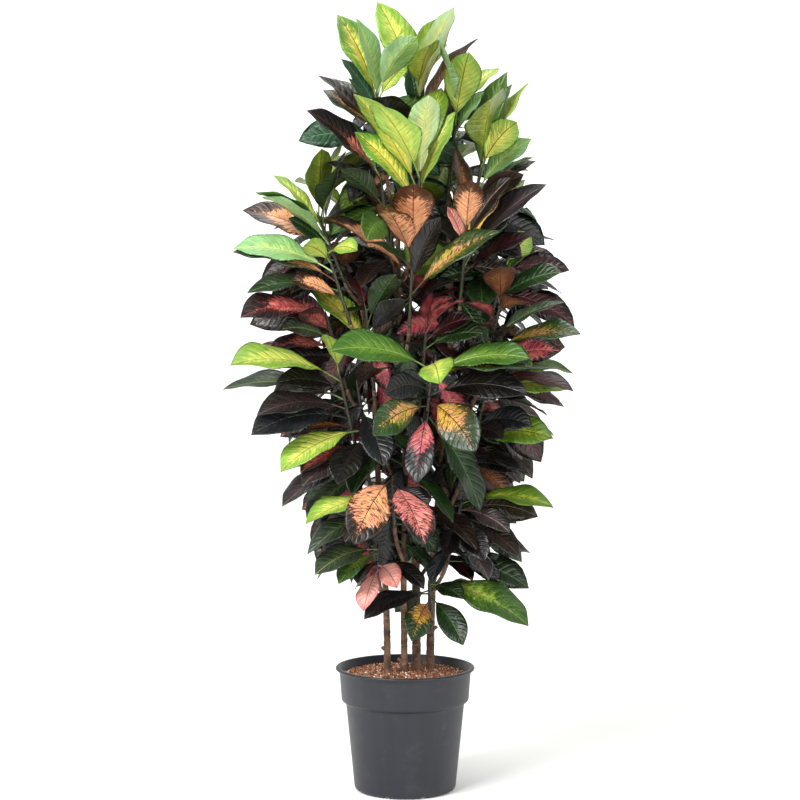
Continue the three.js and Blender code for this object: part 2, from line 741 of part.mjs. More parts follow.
// Each shoot's own line, and the woody branch that carries it from its trunk.
for (const shoot of Object.values(shoots)) {
  const foot = point(...shoot.foot);
  const top = point(...shoot.top);
  const heading = top.clone().sub(foot).normalize();
  const trunk = trunkCurves[shoot.trunk];
  const end = trunk.getPoint(1);
  const offset = trunkPointAt(trunk, foot.z).sub(foot);
  const reach = Math.hypot(offset.x, offset.y);
  const down = foot.z - BRANCH_RUN * reach - BRANCH_DROP;
  const start = foot.z - end.z > reach ? end : trunkPointAt(trunk, down);
  const bow = foot.clone().addScaledVector(heading, -BRANCH_BOW * start.distanceTo(foot));
  shoot.branch = new THREE.QuadraticBezierCurve3(start, bow, foot);
  shoot.line = new THREE.LineCurve3(foot.clone().addScaledVector(heading, SEAT_GAP), top);
}

// The point of a shoot's stem that bears the leaf of a rank, from the lowest (0) to the youngest (1).
function stemPoint(shoot, rank) {
  return shoot.line.getPoint(1 - ((1 - rank) * shoot.leafy) / shoot.line.getLength());
}

// Wood first, so that the leaves grow clear of it.
const wood = {};
for (const [name, { radii }] of Object.entries(trunks)) {
  const curve = trunkCurves[name];
  const pieces = [stem(curve, TRUNK_STEPS, TRUNK_SIDES, radii[0], radii[1])];
  for (const shoot of Object.values(shoots).filter((s) => s.trunk === name)) {
    pieces.push(stem(shoot.branch, TWIG_STEPS, TWIG_SIDES, TWIG_RADIUS, SHOOT_RADIUS));
  }
  for (const { from, to } of snags.filter((s) => s.trunk === name)) {
    const line = new THREE.LineCurve3(point(...from), point(...to));
    pieces.push(stem(line, 1, TWIG_SIDES, SNAG_RADIUS, SNAG_RADIUS));
  }
  wood[name] = pieces;
}
const facetsOf = (geometry) => {
  const { position } = geometry.attributes;
  const at = (i) => point(0, 0, 0).fromBufferAttribute(position, i);
  const index = geometry.index.array;
  return Array.from({ length: index.length / 3 }, (_, n) => [0, 1, 2].map((c) => at(index[3 * n + c])));
};
const keepStem = (curve, steps, sides, low, high, tip, shoot) => {
  const shell = facetsOf(stem(curve, steps, sides, low + STEM_KEEP_OUT, high + STEM_KEEP_OUT, tip));
  placed.push({ shell, box: boxOf(shell), shoot, isStem: true });
};
for (const [name, curve] of Object.entries(trunkCurves)) {
  keepStem(curve, TRUNK_STEPS, TRUNK_SIDES, ...trunks[name].radii, 0, null);
}
for (const shoot of Object.values(shoots)) {
  keepStem(shoot.branch, TWIG_STEPS, TWIG_SIDES, TWIG_RADIUS, SHOOT_RADIUS, 0, null);
  const bud = BUD_LENGTH + STEM_KEEP_OUT;
  keepStem(shoot.line, 1, SHOOT_SIDES, SHOOT_RADIUS, SHOOT_TIP_RADIUS, bud, shoot);
}

// Leaves seen from the front find their places first, and the spare ones fill in behind them.
for (const shoot of Object.values(shoots)) {
  shoot.grown = [];
  shoot.leaves.forEach((row, i) => {
    const rank = shoot.leaves.length > 1 ? i / (shoot.leaves.length - 1) : 1;
    const leaf = placeSeenLeaf(stemPoint(shoot, rank), row, shoot);
    if (leaf) keepLeaf(leaf, shoot, stationsFor(row[3]));
  });
}
const SHOOT_SEED = 17;
const LEAF_SEED = 5;
Object.values(shoots).forEach((shoot, order) => {
  for (let i = 0; i < shoot.spare; i++) {
    const seed = SHOOT_SEED * order + LEAF_SEED * i;
    const leaf = placeSpareLeaf(shoot, i, seed);
    if (leaf) keepLeaf(leaf, shoot, SPARE_BLADE_STATIONS);
  }
});

// Assembly
const croton = new THREE.Group();
const finish = (color, roughness) => new THREE.MeshStandardMaterial({ color, roughness, metalness: 0 });
const plastic = finish("#4a4c53", 0.5);
const earth = finish("#6b4a36", 0.95);
const bark = finish("#7a5c46", 0.8);
const foliage = finish("#5c7a33", 0.4);

function addNode(name, geometry, material) {
  geometry.computeVertexNormals();
  const mesh = new THREE.Mesh(geometry, material);
  mesh.name = name;
  croton.add(mesh);
}

// A solid of revolution about the Z axis from its profile of [radius, height].
function revolved(profile, sides) {
  const lathe = new THREE.LatheGeometry(profile.map(([r, z]) => new THREE.Vector2(r, z)), sides);
  return solidOf(lathe.rotateX(Math.PI / 2));
}

const collarFoot = POT_HEIGHT - COLLAR_HEIGHT;
const bodyTop = collarFoot - SHOULDER_DROP;
const footChamfer = 0.3 * FOOT_ROUND;
const potOutside = [
  [0, 0],
  [BODY_FOOT_RADIUS - FOOT_ROUND, 0],
  [BODY_FOOT_RADIUS - footChamfer, footChamfer],
  [BODY_FOOT_RADIUS, FOOT_ROUND],
  [BODY_TOP_RADIUS, bodyTop],
  [COLLAR_FOOT_RADIUS, collarFoot],
  [COLLAR_TOP_RADIUS, POT_HEIGHT - RIM_LIP],
  [RIM_RADIUS, POT_HEIGHT - RIM_LIP + 1],
  [RIM_RADIUS, POT_HEIGHT],
];
const potInside = [
  [COLLAR_TOP_RADIUS - POT_WALL, POT_HEIGHT],
  [COLLAR_FOOT_RADIUS - POT_WALL, collarFoot],
  [BODY_TOP_RADIUS - POT_WALL, bodyTop],
  [BODY_FOOT_RADIUS - POT_WALL, POT_FLOOR],
  [0, POT_FLOOR],
];
const notch = new THREE.BoxGeometry(DRAIN_NOTCH.deep, DRAIN_NOTCH.wide, DRAIN_NOTCH.high);
const notches = Array.from({ length: DRAIN_NOTCHES }, (_, i) => {
  const turn = ((i + 0.5) * 2 * Math.PI) / DRAIN_NOTCHES;
  const reach = BODY_FOOT_RADIUS;
  return solidOf(notch.clone().translate(reach, 0, DRAIN_NOTCH.high / 2 - 1).rotateZ(turn));
});
const pot = notches.reduce(
  (shell, hole) => shell.subtract(hole),
  revolved([...potOutside, ...potInside], POT_SIDES),
);
addNode("pot", geometryOf(pot), plastic);

const insideRadius = (z) => {
  for (let i = 0; i + 1 < potInside.length; i++) {
    const [r1, z1] = potInside[i];
    const [r2, z2] = potInside[i + 1];
    if (z <= z1 && z >= z2) return r1 + ((r2 - r1) * (z - z1)) / (z2 - z1);
  }
  return 0;
};
const soilFloor = POT_FLOOR + SEAT_GAP;
const soilProfile = [
  [0, soilFloor],
  [insideRadius(soilFloor) - 2 * SEAT_GAP, soilFloor],
  [insideRadius(bodyTop) - 2 * SEAT_GAP, bodyTop],
  [insideRadius(collarFoot) - 2 * SEAT_GAP, collarFoot + 2],
  [insideRadius(SOIL_LEVEL) - 2 * SEAT_GAP, SOIL_LEVEL - 2],
  [SOIL_CREST, SOIL_LEVEL],
  [0, SOIL_LEVEL + SOIL_MOUND],
];
const sockets = Object.entries(trunkCurves).map(([name, curve]) => {
  const [low, high] = trunks[name].radii;
  return solidOf(stem(curve, TRUNK_STEPS, TRUNK_SIDES, low + SEAT_GAP, high + SEAT_GAP));
});
const soil = sockets.reduce((body, hole) => body.subtract(hole), revolved(soilProfile, POT_SIDES));
addNode("soil", geometryOf(soil), earth);

for (const [name, pieces] of Object.entries(wood)) {
  addNode("trunk_" + name, geometryOf(fuse(pieces.map(solidOf))), bark);
}

for (const [name, shoot] of Object.entries(shoots)) {
  const green = stem(shoot.line, 1, SHOOT_SIDES, SHOOT_RADIUS, SHOOT_TIP_RADIUS, BUD_LENGTH);
  const leaves = shoot.grown.map(({ leaf, stations }) => solidOf(loft(leafRings(leaf, stations))));
  addNode("shoot_" + name, geometryOf(fuse([solidOf(green), ...leaves])), foliage);
}

export default croton;
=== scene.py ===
import math
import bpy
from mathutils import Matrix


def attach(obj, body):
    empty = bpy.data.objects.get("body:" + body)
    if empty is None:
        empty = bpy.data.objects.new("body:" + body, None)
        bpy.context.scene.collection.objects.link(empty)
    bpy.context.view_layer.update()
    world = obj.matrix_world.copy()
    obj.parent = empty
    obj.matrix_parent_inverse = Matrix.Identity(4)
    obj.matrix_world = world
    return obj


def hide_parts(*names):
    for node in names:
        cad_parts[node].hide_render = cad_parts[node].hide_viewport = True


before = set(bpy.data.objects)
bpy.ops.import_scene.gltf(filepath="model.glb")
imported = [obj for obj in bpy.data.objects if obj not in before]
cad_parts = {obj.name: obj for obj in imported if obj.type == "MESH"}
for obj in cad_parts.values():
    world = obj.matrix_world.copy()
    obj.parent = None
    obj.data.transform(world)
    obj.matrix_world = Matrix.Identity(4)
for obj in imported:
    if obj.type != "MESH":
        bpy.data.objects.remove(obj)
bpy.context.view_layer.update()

from types import SimpleNamespace

import bpy
import numpy as np
from mathutils import Vector
from mathutils.bvhtree import BVHTree


# Pot: one injection-moulded polypropylene shell with a collar, a rolled lip, a rounded foot and small
# drainage notches at the foot. It stands on the floor by itself.
POT_HEIGHT, RIM_RADIUS, RIM_LIP = 240, 135, 5
COLLAR_TOP_RADIUS, COLLAR_FOOT_RADIUS, COLLAR_HEIGHT = 128, 123.5, 63
SHOULDER_DROP, BODY_TOP_RADIUS, BODY_FOOT_RADIUS, FOOT_ROUND = 9, 115, 99, 9
POT_WALL, POT_SIDES, LIP_ROUND, COLLAR_EDGE, FLAT_RING = 2.2, 240, 2.5, 0.6, 60
NOTCHES, NOTCH_WIDE, NOTCH_HIGH, NOTCH_REACH = 8, 13, 5, 88


def closed_faces(rows, ring):
    """The outward faces of a body of rows of points, each a closed ring that runs anticlockwise as seen from
    beyond the last. Point i of row r is r ring + i, and two more points close the first row and the last."""
    r, i = np.meshgrid(np.arange(rows - 1), np.arange(ring), indexing="ij")
    after = (i + 1) % ring
    quads = np.stack([r * ring + i, r * ring + after, (r + 1) * ring + after, (r + 1) * ring + i], -1)
    i, after = i[0], after[0]
    last, pole = (rows - 1) * ring, np.full(ring, rows * ring)
    fans = np.concatenate([np.stack([pole, after, i], -1), np.stack([pole + 1, last + i, last + after], -1)])
    return quads.reshape(-1, 4).tolist() + fans.tolist()


def turned(profile, sides):
    """A profile of (radius, height) turned about Z: point (j, i) is (r_j cos a_i, r_j sin a_i, z_j) with
    a_i = 2 pi i / sides. The profile starts and ends on the axis, where one point closes each pole."""
    radius, height = np.array(profile[1:-1], float).T[:, :, None]
    angle = 2 * np.pi * np.arange(sides) / sides
    points = np.stack(np.broadcast_arrays(radius * np.cos(angle), radius * np.sin(angle), height), -1)
    poles = [(0, 0, profile[0][1]), (0, 0, profile[-1][1])]
    return np.concatenate([points.reshape(-1, 3), poles]), closed_faces(len(radius), sides)


def hex_color(code):
    """An sRGB colour written as #RRGGBB, made linear, with alpha."""
    channel = np.array([int(code[i:i + 2], 16) for i in (1, 3, 5)]) / 255
    linear = np.where(channel <= 0.04045, channel / 12.92, ((channel + 0.055) / 1.055) ** 2.4)
    return (*linear.tolist(), 1.0)


# A ramp from one value to another that starts and ends softly.
SOFT = {"interpolation_type": "SMOOTHSTEP"}


def add_node(tree, kind, inputs=None, **settings):
    """A shader node with its settings. Each input is a value, a socket, or the node that feeds it."""
    node = tree.nodes.new("ShaderNode" + kind)
    for name, value in settings.items():
        setattr(node, name, value)
    for key, value in (inputs or {}).items():
        if isinstance(value, bpy.types.Node):
            value = next(socket for socket in value.outputs if socket.enabled)
        if isinstance(value, bpy.types.NodeSocket):
            tree.links.new(value, node.inputs[key])
        else:
            node.inputs[key].default_value = value
    return node


def new_material(name):
    """A material, its tree, and the only thing in it yet: a socket that gives a point's place in metres."""
    material = bpy.data.materials.new(name)
    material.use_nodes = True
    tree = material.node_tree
    tree.nodes.clear()
    return material, tree, add_node(tree, "TexCoord").outputs["Object"]


def new_piece(name, points, faces, *materials):
    """A smooth mesh object at the origin from points in millimetres."""
    mesh = bpy.data.meshes.new(name)
    mesh.from_pydata(np.asarray(points) / 1000, [], faces)
    mesh.polygons.foreach_set("use_smooth", np.ones(len(mesh.polygons), bool))
    for material in materials:
        mesh.materials.append(material)
    piece = bpy.data.objects.new(name, mesh)
    bpy.context.scene.collection.objects.link(piece)
    return piece


collar_foot = POT_HEIGHT - COLLAR_HEIGHT
body_top = collar_foot - SHOULDER_DROP
quarter = np.linspace(0, np.pi / 2, 7)
foot_curve = [
    (BODY_FOOT_RADIUS - FOOT_ROUND * (1 - math.sin(a)), FOOT_ROUND * (1 - math.cos(a))) for a in quarter
]
body_wall = [
    (BODY_FOOT_RADIUS + (BODY_TOP_RADIUS - BODY_FOOT_RADIUS) * s, FOOT_ROUND + (body_top - FOOT_ROUND) * s)
    for s in np.linspace(0.03, 0.985, 12)
]
shoulder_width = COLLAR_FOOT_RADIUS - BODY_TOP_RADIUS
shoulder = [
    (BODY_TOP_RADIUS + shoulder_width * s * s * (3 - 2 * s), body_top + SHOULDER_DROP * s)
    for s in np.linspace(0, 1, 7)
]
lip_curve = [
    (RIM_RADIUS - LIP_ROUND * (1 - math.cos(a)), POT_HEIGHT - LIP_ROUND * (1 - math.sin(a))) for a in quarter
]
lip_foot = POT_HEIGHT - RIM_LIP
pot_profile = [(0, 0), (FLAT_RING, 0), *foot_curve, *body_wall, *shoulder]
pot_profile += [(COLLAR_FOOT_RADIUS + 0.5, collar_foot + 3), (COLLAR_TOP_RADIUS - COLLAR_EDGE, lip_foot - 8)]
pot_profile += [(COLLAR_TOP_RADIUS, lip_foot - 2), (COLLAR_TOP_RADIUS + 1.5, lip_foot)]
pot_profile += [(RIM_RADIUS - 1, lip_foot + 0.2), (RIM_RADIUS, lip_foot + 1.2), *lip_curve]
pot_profile += [(COLLAR_TOP_RADIUS, POT_HEIGHT), (COLLAR_TOP_RADIUS - POT_WALL, POT_HEIGHT - 1.5)]
pot_profile += [(COLLAR_FOOT_RADIUS - POT_WALL, collar_foot), (BODY_TOP_RADIUS - POT_WALL, body_top)]
pot_profile += [(BODY_FOOT_RADIUS - POT_WALL, FOOT_ROUND + 2), (0, FOOT_ROUND + 2)]
pot_points, pot_faces = turned(pot_profile, POT_SIDES)
across_notch = ((np.arctan2(pot_points[:, 1], pot_points[:, 0]) * NOTCHES / (2 * np.pi)) % 1 - 0.5) / NOTCHES
beside_notch = np.abs(across_notch) * 2 * np.pi * BODY_FOOT_RADIUS
from_axis = np.hypot(pot_points[:, 0], pot_points[:, 1])
in_notch = (beside_notch < NOTCH_WIDE / 2) & (from_axis > NOTCH_REACH) & (pot_points[:, 2] < NOTCH_HIGH)
pot_points[in_notch, 2] = NOTCH_HIGH

# Moulded polypropylene, blue-grey and half matt: a soft sheen, faint upright streaks from the mould, and
# patches of dust.
moulded_plastic, tree, where = new_material("moulded_polypropylene")
streak_place = add_node(tree, "Mapping", {"Vector": where, "Scale": (40, 40, 1.5)})
streaks = add_node(tree, "TexNoise", {"Vector": streak_place, "Scale": 1.0, "Detail": 3.0})
dust = add_node(tree, "TexNoise", {"Vector": where, "Scale": 30.0, "Detail": 6.0, "Roughness": 0.7})
grain = add_node(tree, "TexNoise", {"Vector": where, "Scale": 1600.0, "Detail": 2.0})
streak_share = add_node(tree, "MapRange", {0: streaks, 1: 0.35, 2: 0.7}, **SOFT)
dust_share = add_node(tree, "MapRange", {0: dust, 1: 0.5, 2: 0.85, 4: 0.16}, **SOFT)
wall = add_node(
    tree, "Mix", {0: streak_share, 6: hex_color("#15161F"), 7: hex_color("#1B1C27")}, data_type="RGBA")
dusty = add_node(tree, "Mix", {0: dust_share, 6: wall, 7: hex_color("#6A6864")}, data_type="RGBA")
sheen = add_node(tree, "MapRange", {0: streaks, 3: 0.36, 4: 0.52})
bump = add_node(tree, "Bump", {"Height": grain, "Distance": 0.0001, "Strength": 0.6})
shade = {"Base Color": dusty, "Roughness": sheen, "IOR": 1.49, "Normal": bump}
surface = add_node(tree, "BsdfPrincipled", shade)
add_node(tree, "OutputMaterial", {"Surface": surface})

pot = new_piece("pot_shell", pot_points, pot_faces, moulded_plastic)
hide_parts("pot")
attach(pot, "root")


# Soil: fine moist bark and coir that fills the pot to below its lip. Its top is uneven, and bark chips and
# white perlite grains lie loose on it.
SEAT_GAP = 0.4
SOIL_LEVEL, SOIL_MOUND, SOIL_SIDES = 225, 5, 160
soil_edge = COLLAR_TOP_RADIUS - POT_WALL - 2.2
soil_floor = FOOT_ROUND + 2 + SEAT_GAP
rim_to_middle = np.linspace(1, 0, 46)
clear_wall = POT_WALL + 1
soil_profile = [(0, soil_floor), (BODY_FOOT_RADIUS - clear_wall, soil_floor)]
soil_profile += [(BODY_TOP_RADIUS - clear_wall, body_top), (COLLAR_FOOT_RADIUS - clear_wall, collar_foot + 2)]
soil_profile += [(soil_edge * s, SOIL_LEVEL - 2 + SOIL_MOUND * (1 - s * s)) for s in rim_to_middle]
soil_points, soil_faces = turned(soil_profile, SOIL_SIDES)
x, y, z = soil_points.T
lumps = 1.3 * np.sin(x / 7.1 + 1.3 * np.sin(y / 9.7)) * np.cos(y / 6.3) + 0.8 * np.sin(x / 2.9 + y / 3.7)
soil_points[:, 2] += np.where(z > SOIL_LEVEL - 3, lumps * np.minimum(1, np.hypot(x, y) / 5), 0)

# Fine bark: dark red-brown crumbs 2 to 4 mm across with dry, lighter faces. Dull and without sheen.
moist_bark, tree, where = new_material("moist_bark_soil")
crumbs = add_node(tree, "TexVoronoi", {"Vector": where, "Scale": 300.0})
fine = add_node(tree, "TexNoise", {"Vector": where, "Scale": 600.0, "Detail": 5.0, "Roughness": 0.7})
tone = add_node(tree, "SeparateColor", {"Color": crumbs.outputs["Color"]})
dry = add_node(tree, "MapRange", {0: fine, 1: 0.45, 2: 0.8}, **SOFT)
moist = add_node(tree, "Mix", {0: tone, 6: hex_color("#3A2217"), 7: hex_color("#7E523A")}, data_type="RGBA")
color = add_node(tree, "Mix", {0: dry, 6: moist, 7: hex_color("#A4785A")}, data_type="RGBA")
relief = add_node(tree, "Math", {0: crumbs.outputs["Distance"], 1: fine}, operation="ADD")
bump = add_node(tree, "Bump", {"Height": relief, "Distance": 0.0015, "Strength": 0.9})
surface = add_node(tree, "BsdfPrincipled", {"Base Color": color, "Roughness": 0.92, "Normal": bump})
add_node(tree, "OutputMaterial", {"Surface": surface})

soil = new_piece("soil_bed", soil_points, soil_faces, moist_bark)
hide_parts("soil")
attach(soil, "root")

# Each chip is a box with its corners drawn in by chance, turned at random and half sunk in the bed.
CHIPS, PERLITE, CHIP_HALF_SIZE, CHIP_STRETCH = 3000, 5, (1.0, 2.3), (1.9, 1.0, 0.6)
CHIP_TONES = ("#744832", "#966248", "#B88464", "#D2AA88", "#45291E", "#F2ECE2")
CHIP_SHARES = (0.28, 0.28, 0.18, 0.1, 0.1, 0.06)
draw = np.random.default_rng(11)
tone = draw.choice(len(CHIP_TONES), CHIPS, p=CHIP_SHARES)
stretch = np.where(tone[:, None] == PERLITE, (1, 1, 1), CHIP_STRETCH)
half_size = draw.uniform(*CHIP_HALF_SIZE, (CHIPS, 3)) * stretch
corners = np.array([(x, y, z) for x in (-1, 1) for y in (-1, 1) for z in (-1, 1)], float)
boxes = corners * half_size[:, None] * draw.uniform(0.5, 1, (CHIPS, 8, 3))
turns = np.linalg.qr(draw.normal(size=(CHIPS, 3, 3)))[0]
turns *= np.sign(np.linalg.det(turns))[:, None, None]
from_middle = np.sqrt(draw.uniform(size=CHIPS))
bearing = draw.uniform(0, 2 * np.pi, CHIPS)
chip_reach = from_middle * (soil_edge - 5)
chip_level = SOIL_LEVEL - 1.4 + SOIL_MOUND * (1 - from_middle ** 2) + draw.uniform(-0.8, 1.4, CHIPS)
seats = np.stack([chip_reach * np.cos(bearing), chip_reach * np.sin(bearing), chip_level], -1)
chip_points = (boxes @ np.swapaxes(turns, 1, 2) + seats[:, None]).reshape(-1, 3)
sides = np.array([(0, 1, 3, 2), (4, 6, 7, 5), (0, 4, 5, 1), (2, 3, 7, 6), (0, 2, 6, 4), (1, 5, 7, 3)])
chip_faces = (sides + 8 * np.arange(CHIPS)[:, None, None]).reshape(-1, 4).tolist()
chip_colors = np.repeat(np.array([hex_color(code) for code in CHIP_TONES])[tone], 8, axis=0)

# Bark chips and perlite: fibrous brown flakes and chalky white grains, both dull.
loose_bark, tree, where = new_material("bark_chips_and_perlite")
chip_tone = add_node(tree, "Attribute", attribute_name="tone")
fine = add_node(tree, "TexNoise", {"Vector": where, "Scale": 900.0, "Detail": 4.0, "Roughness": 0.7})
stain = add_node(tree, "MapRange", {0: fine, 1: 0.45, 2: 0.85, 4: 0.5}, **SOFT)
color = add_node(tree, "Mix", {0: stain, 6: chip_tone, 7: hex_color("#3C2519")}, data_type="RGBA")
bump = add_node(tree, "Bump", {"Height": fine, "Distance": 0.0006, "Strength": 0.8})
surface = add_node(tree, "BsdfPrincipled", {"Base Color": color, "Roughness": 0.88, "Normal": bump})
add_node(tree, "OutputMaterial", {"Surface": surface})

chips = new_piece("soil_chips", chip_points, chip_faces, loose_bark)
chips.data.polygons.foreach_set("use_smooth", np.zeros(len(chips.data.polygons), bool))
chips.data.attributes.new("tone", "FLOAT_COLOR", "POINT").data.foreach_set("color", chip_colors.ravel())
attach(chips, "root")


# Trunks: four hardwood cuttings stuck in the soil, each one a brown woody stem with the scars of its old
# leaves, the snags of cut branches, and a thin branch to each of its shoots.
TRUNK_SIDES, TRUNK_STEPS, TWIG_SIDES, TWIG_STEPS = 6, 8, 4, 2
TWIG_RADIUS, SHOOT_RADIUS, SHOOT_TIP_RADIUS, SHOOT_SIDES, BUD_LENGTH = 4.2, 3.9, 3, 4, 16
BRANCH_RUN, BRANCH_DROP, BRANCH_BOW = 1.05, 12, 0.4
SNAG_RADIUS, SNAG_SEED = 3.4, 3
# For the fine wood: steps along it, sides round it, and the share of its length from one leaf scar to the
# next.
FINE_TRUNK, FINE_BRANCH, FINE_SNAG = (150, 18, 0.025), (20, 10, 0.12), (6, 12, 0.4)
TRUNKS = {
    "left": ([
        (-34, -16, 130), (-35, -15, 300), (-40, -2, 430), (-52, 12, 600), (-64, 22, 800), (-84, 26, 940),
    ], (7.6, 4.8)),
    "front": ([
        (0, -2, 130), (-2, -2, 300), (-3, -8, 450), (0, -14, 620), (-4, -10, 800), (-12, 0, 960),
        (-14, 6, 1090),
    ], (7.2, 4.6)),
    "back": ([
        (21, 24, 130), (22, 30, 300), (20, 46, 480), (14, 64, 700), (6, 74, 900), (12, 66, 1100),
    ], (10, 5)),
    "right": ([
        (49, 42, 130), (50, 40, 300), (56, 36, 450), (70, 28, 620), (86, 22, 800), (88, 22, 980),
        (84, 26, 1060),
    ], (9, 5)),
}
SNAGS = [("left", (-33, -15, 268), (-45, -19, 281)), ("front", (-3, -3, 246), (-14, -7, 256)),
         ("right", (50, 39, 300), (62, 34, 312))]

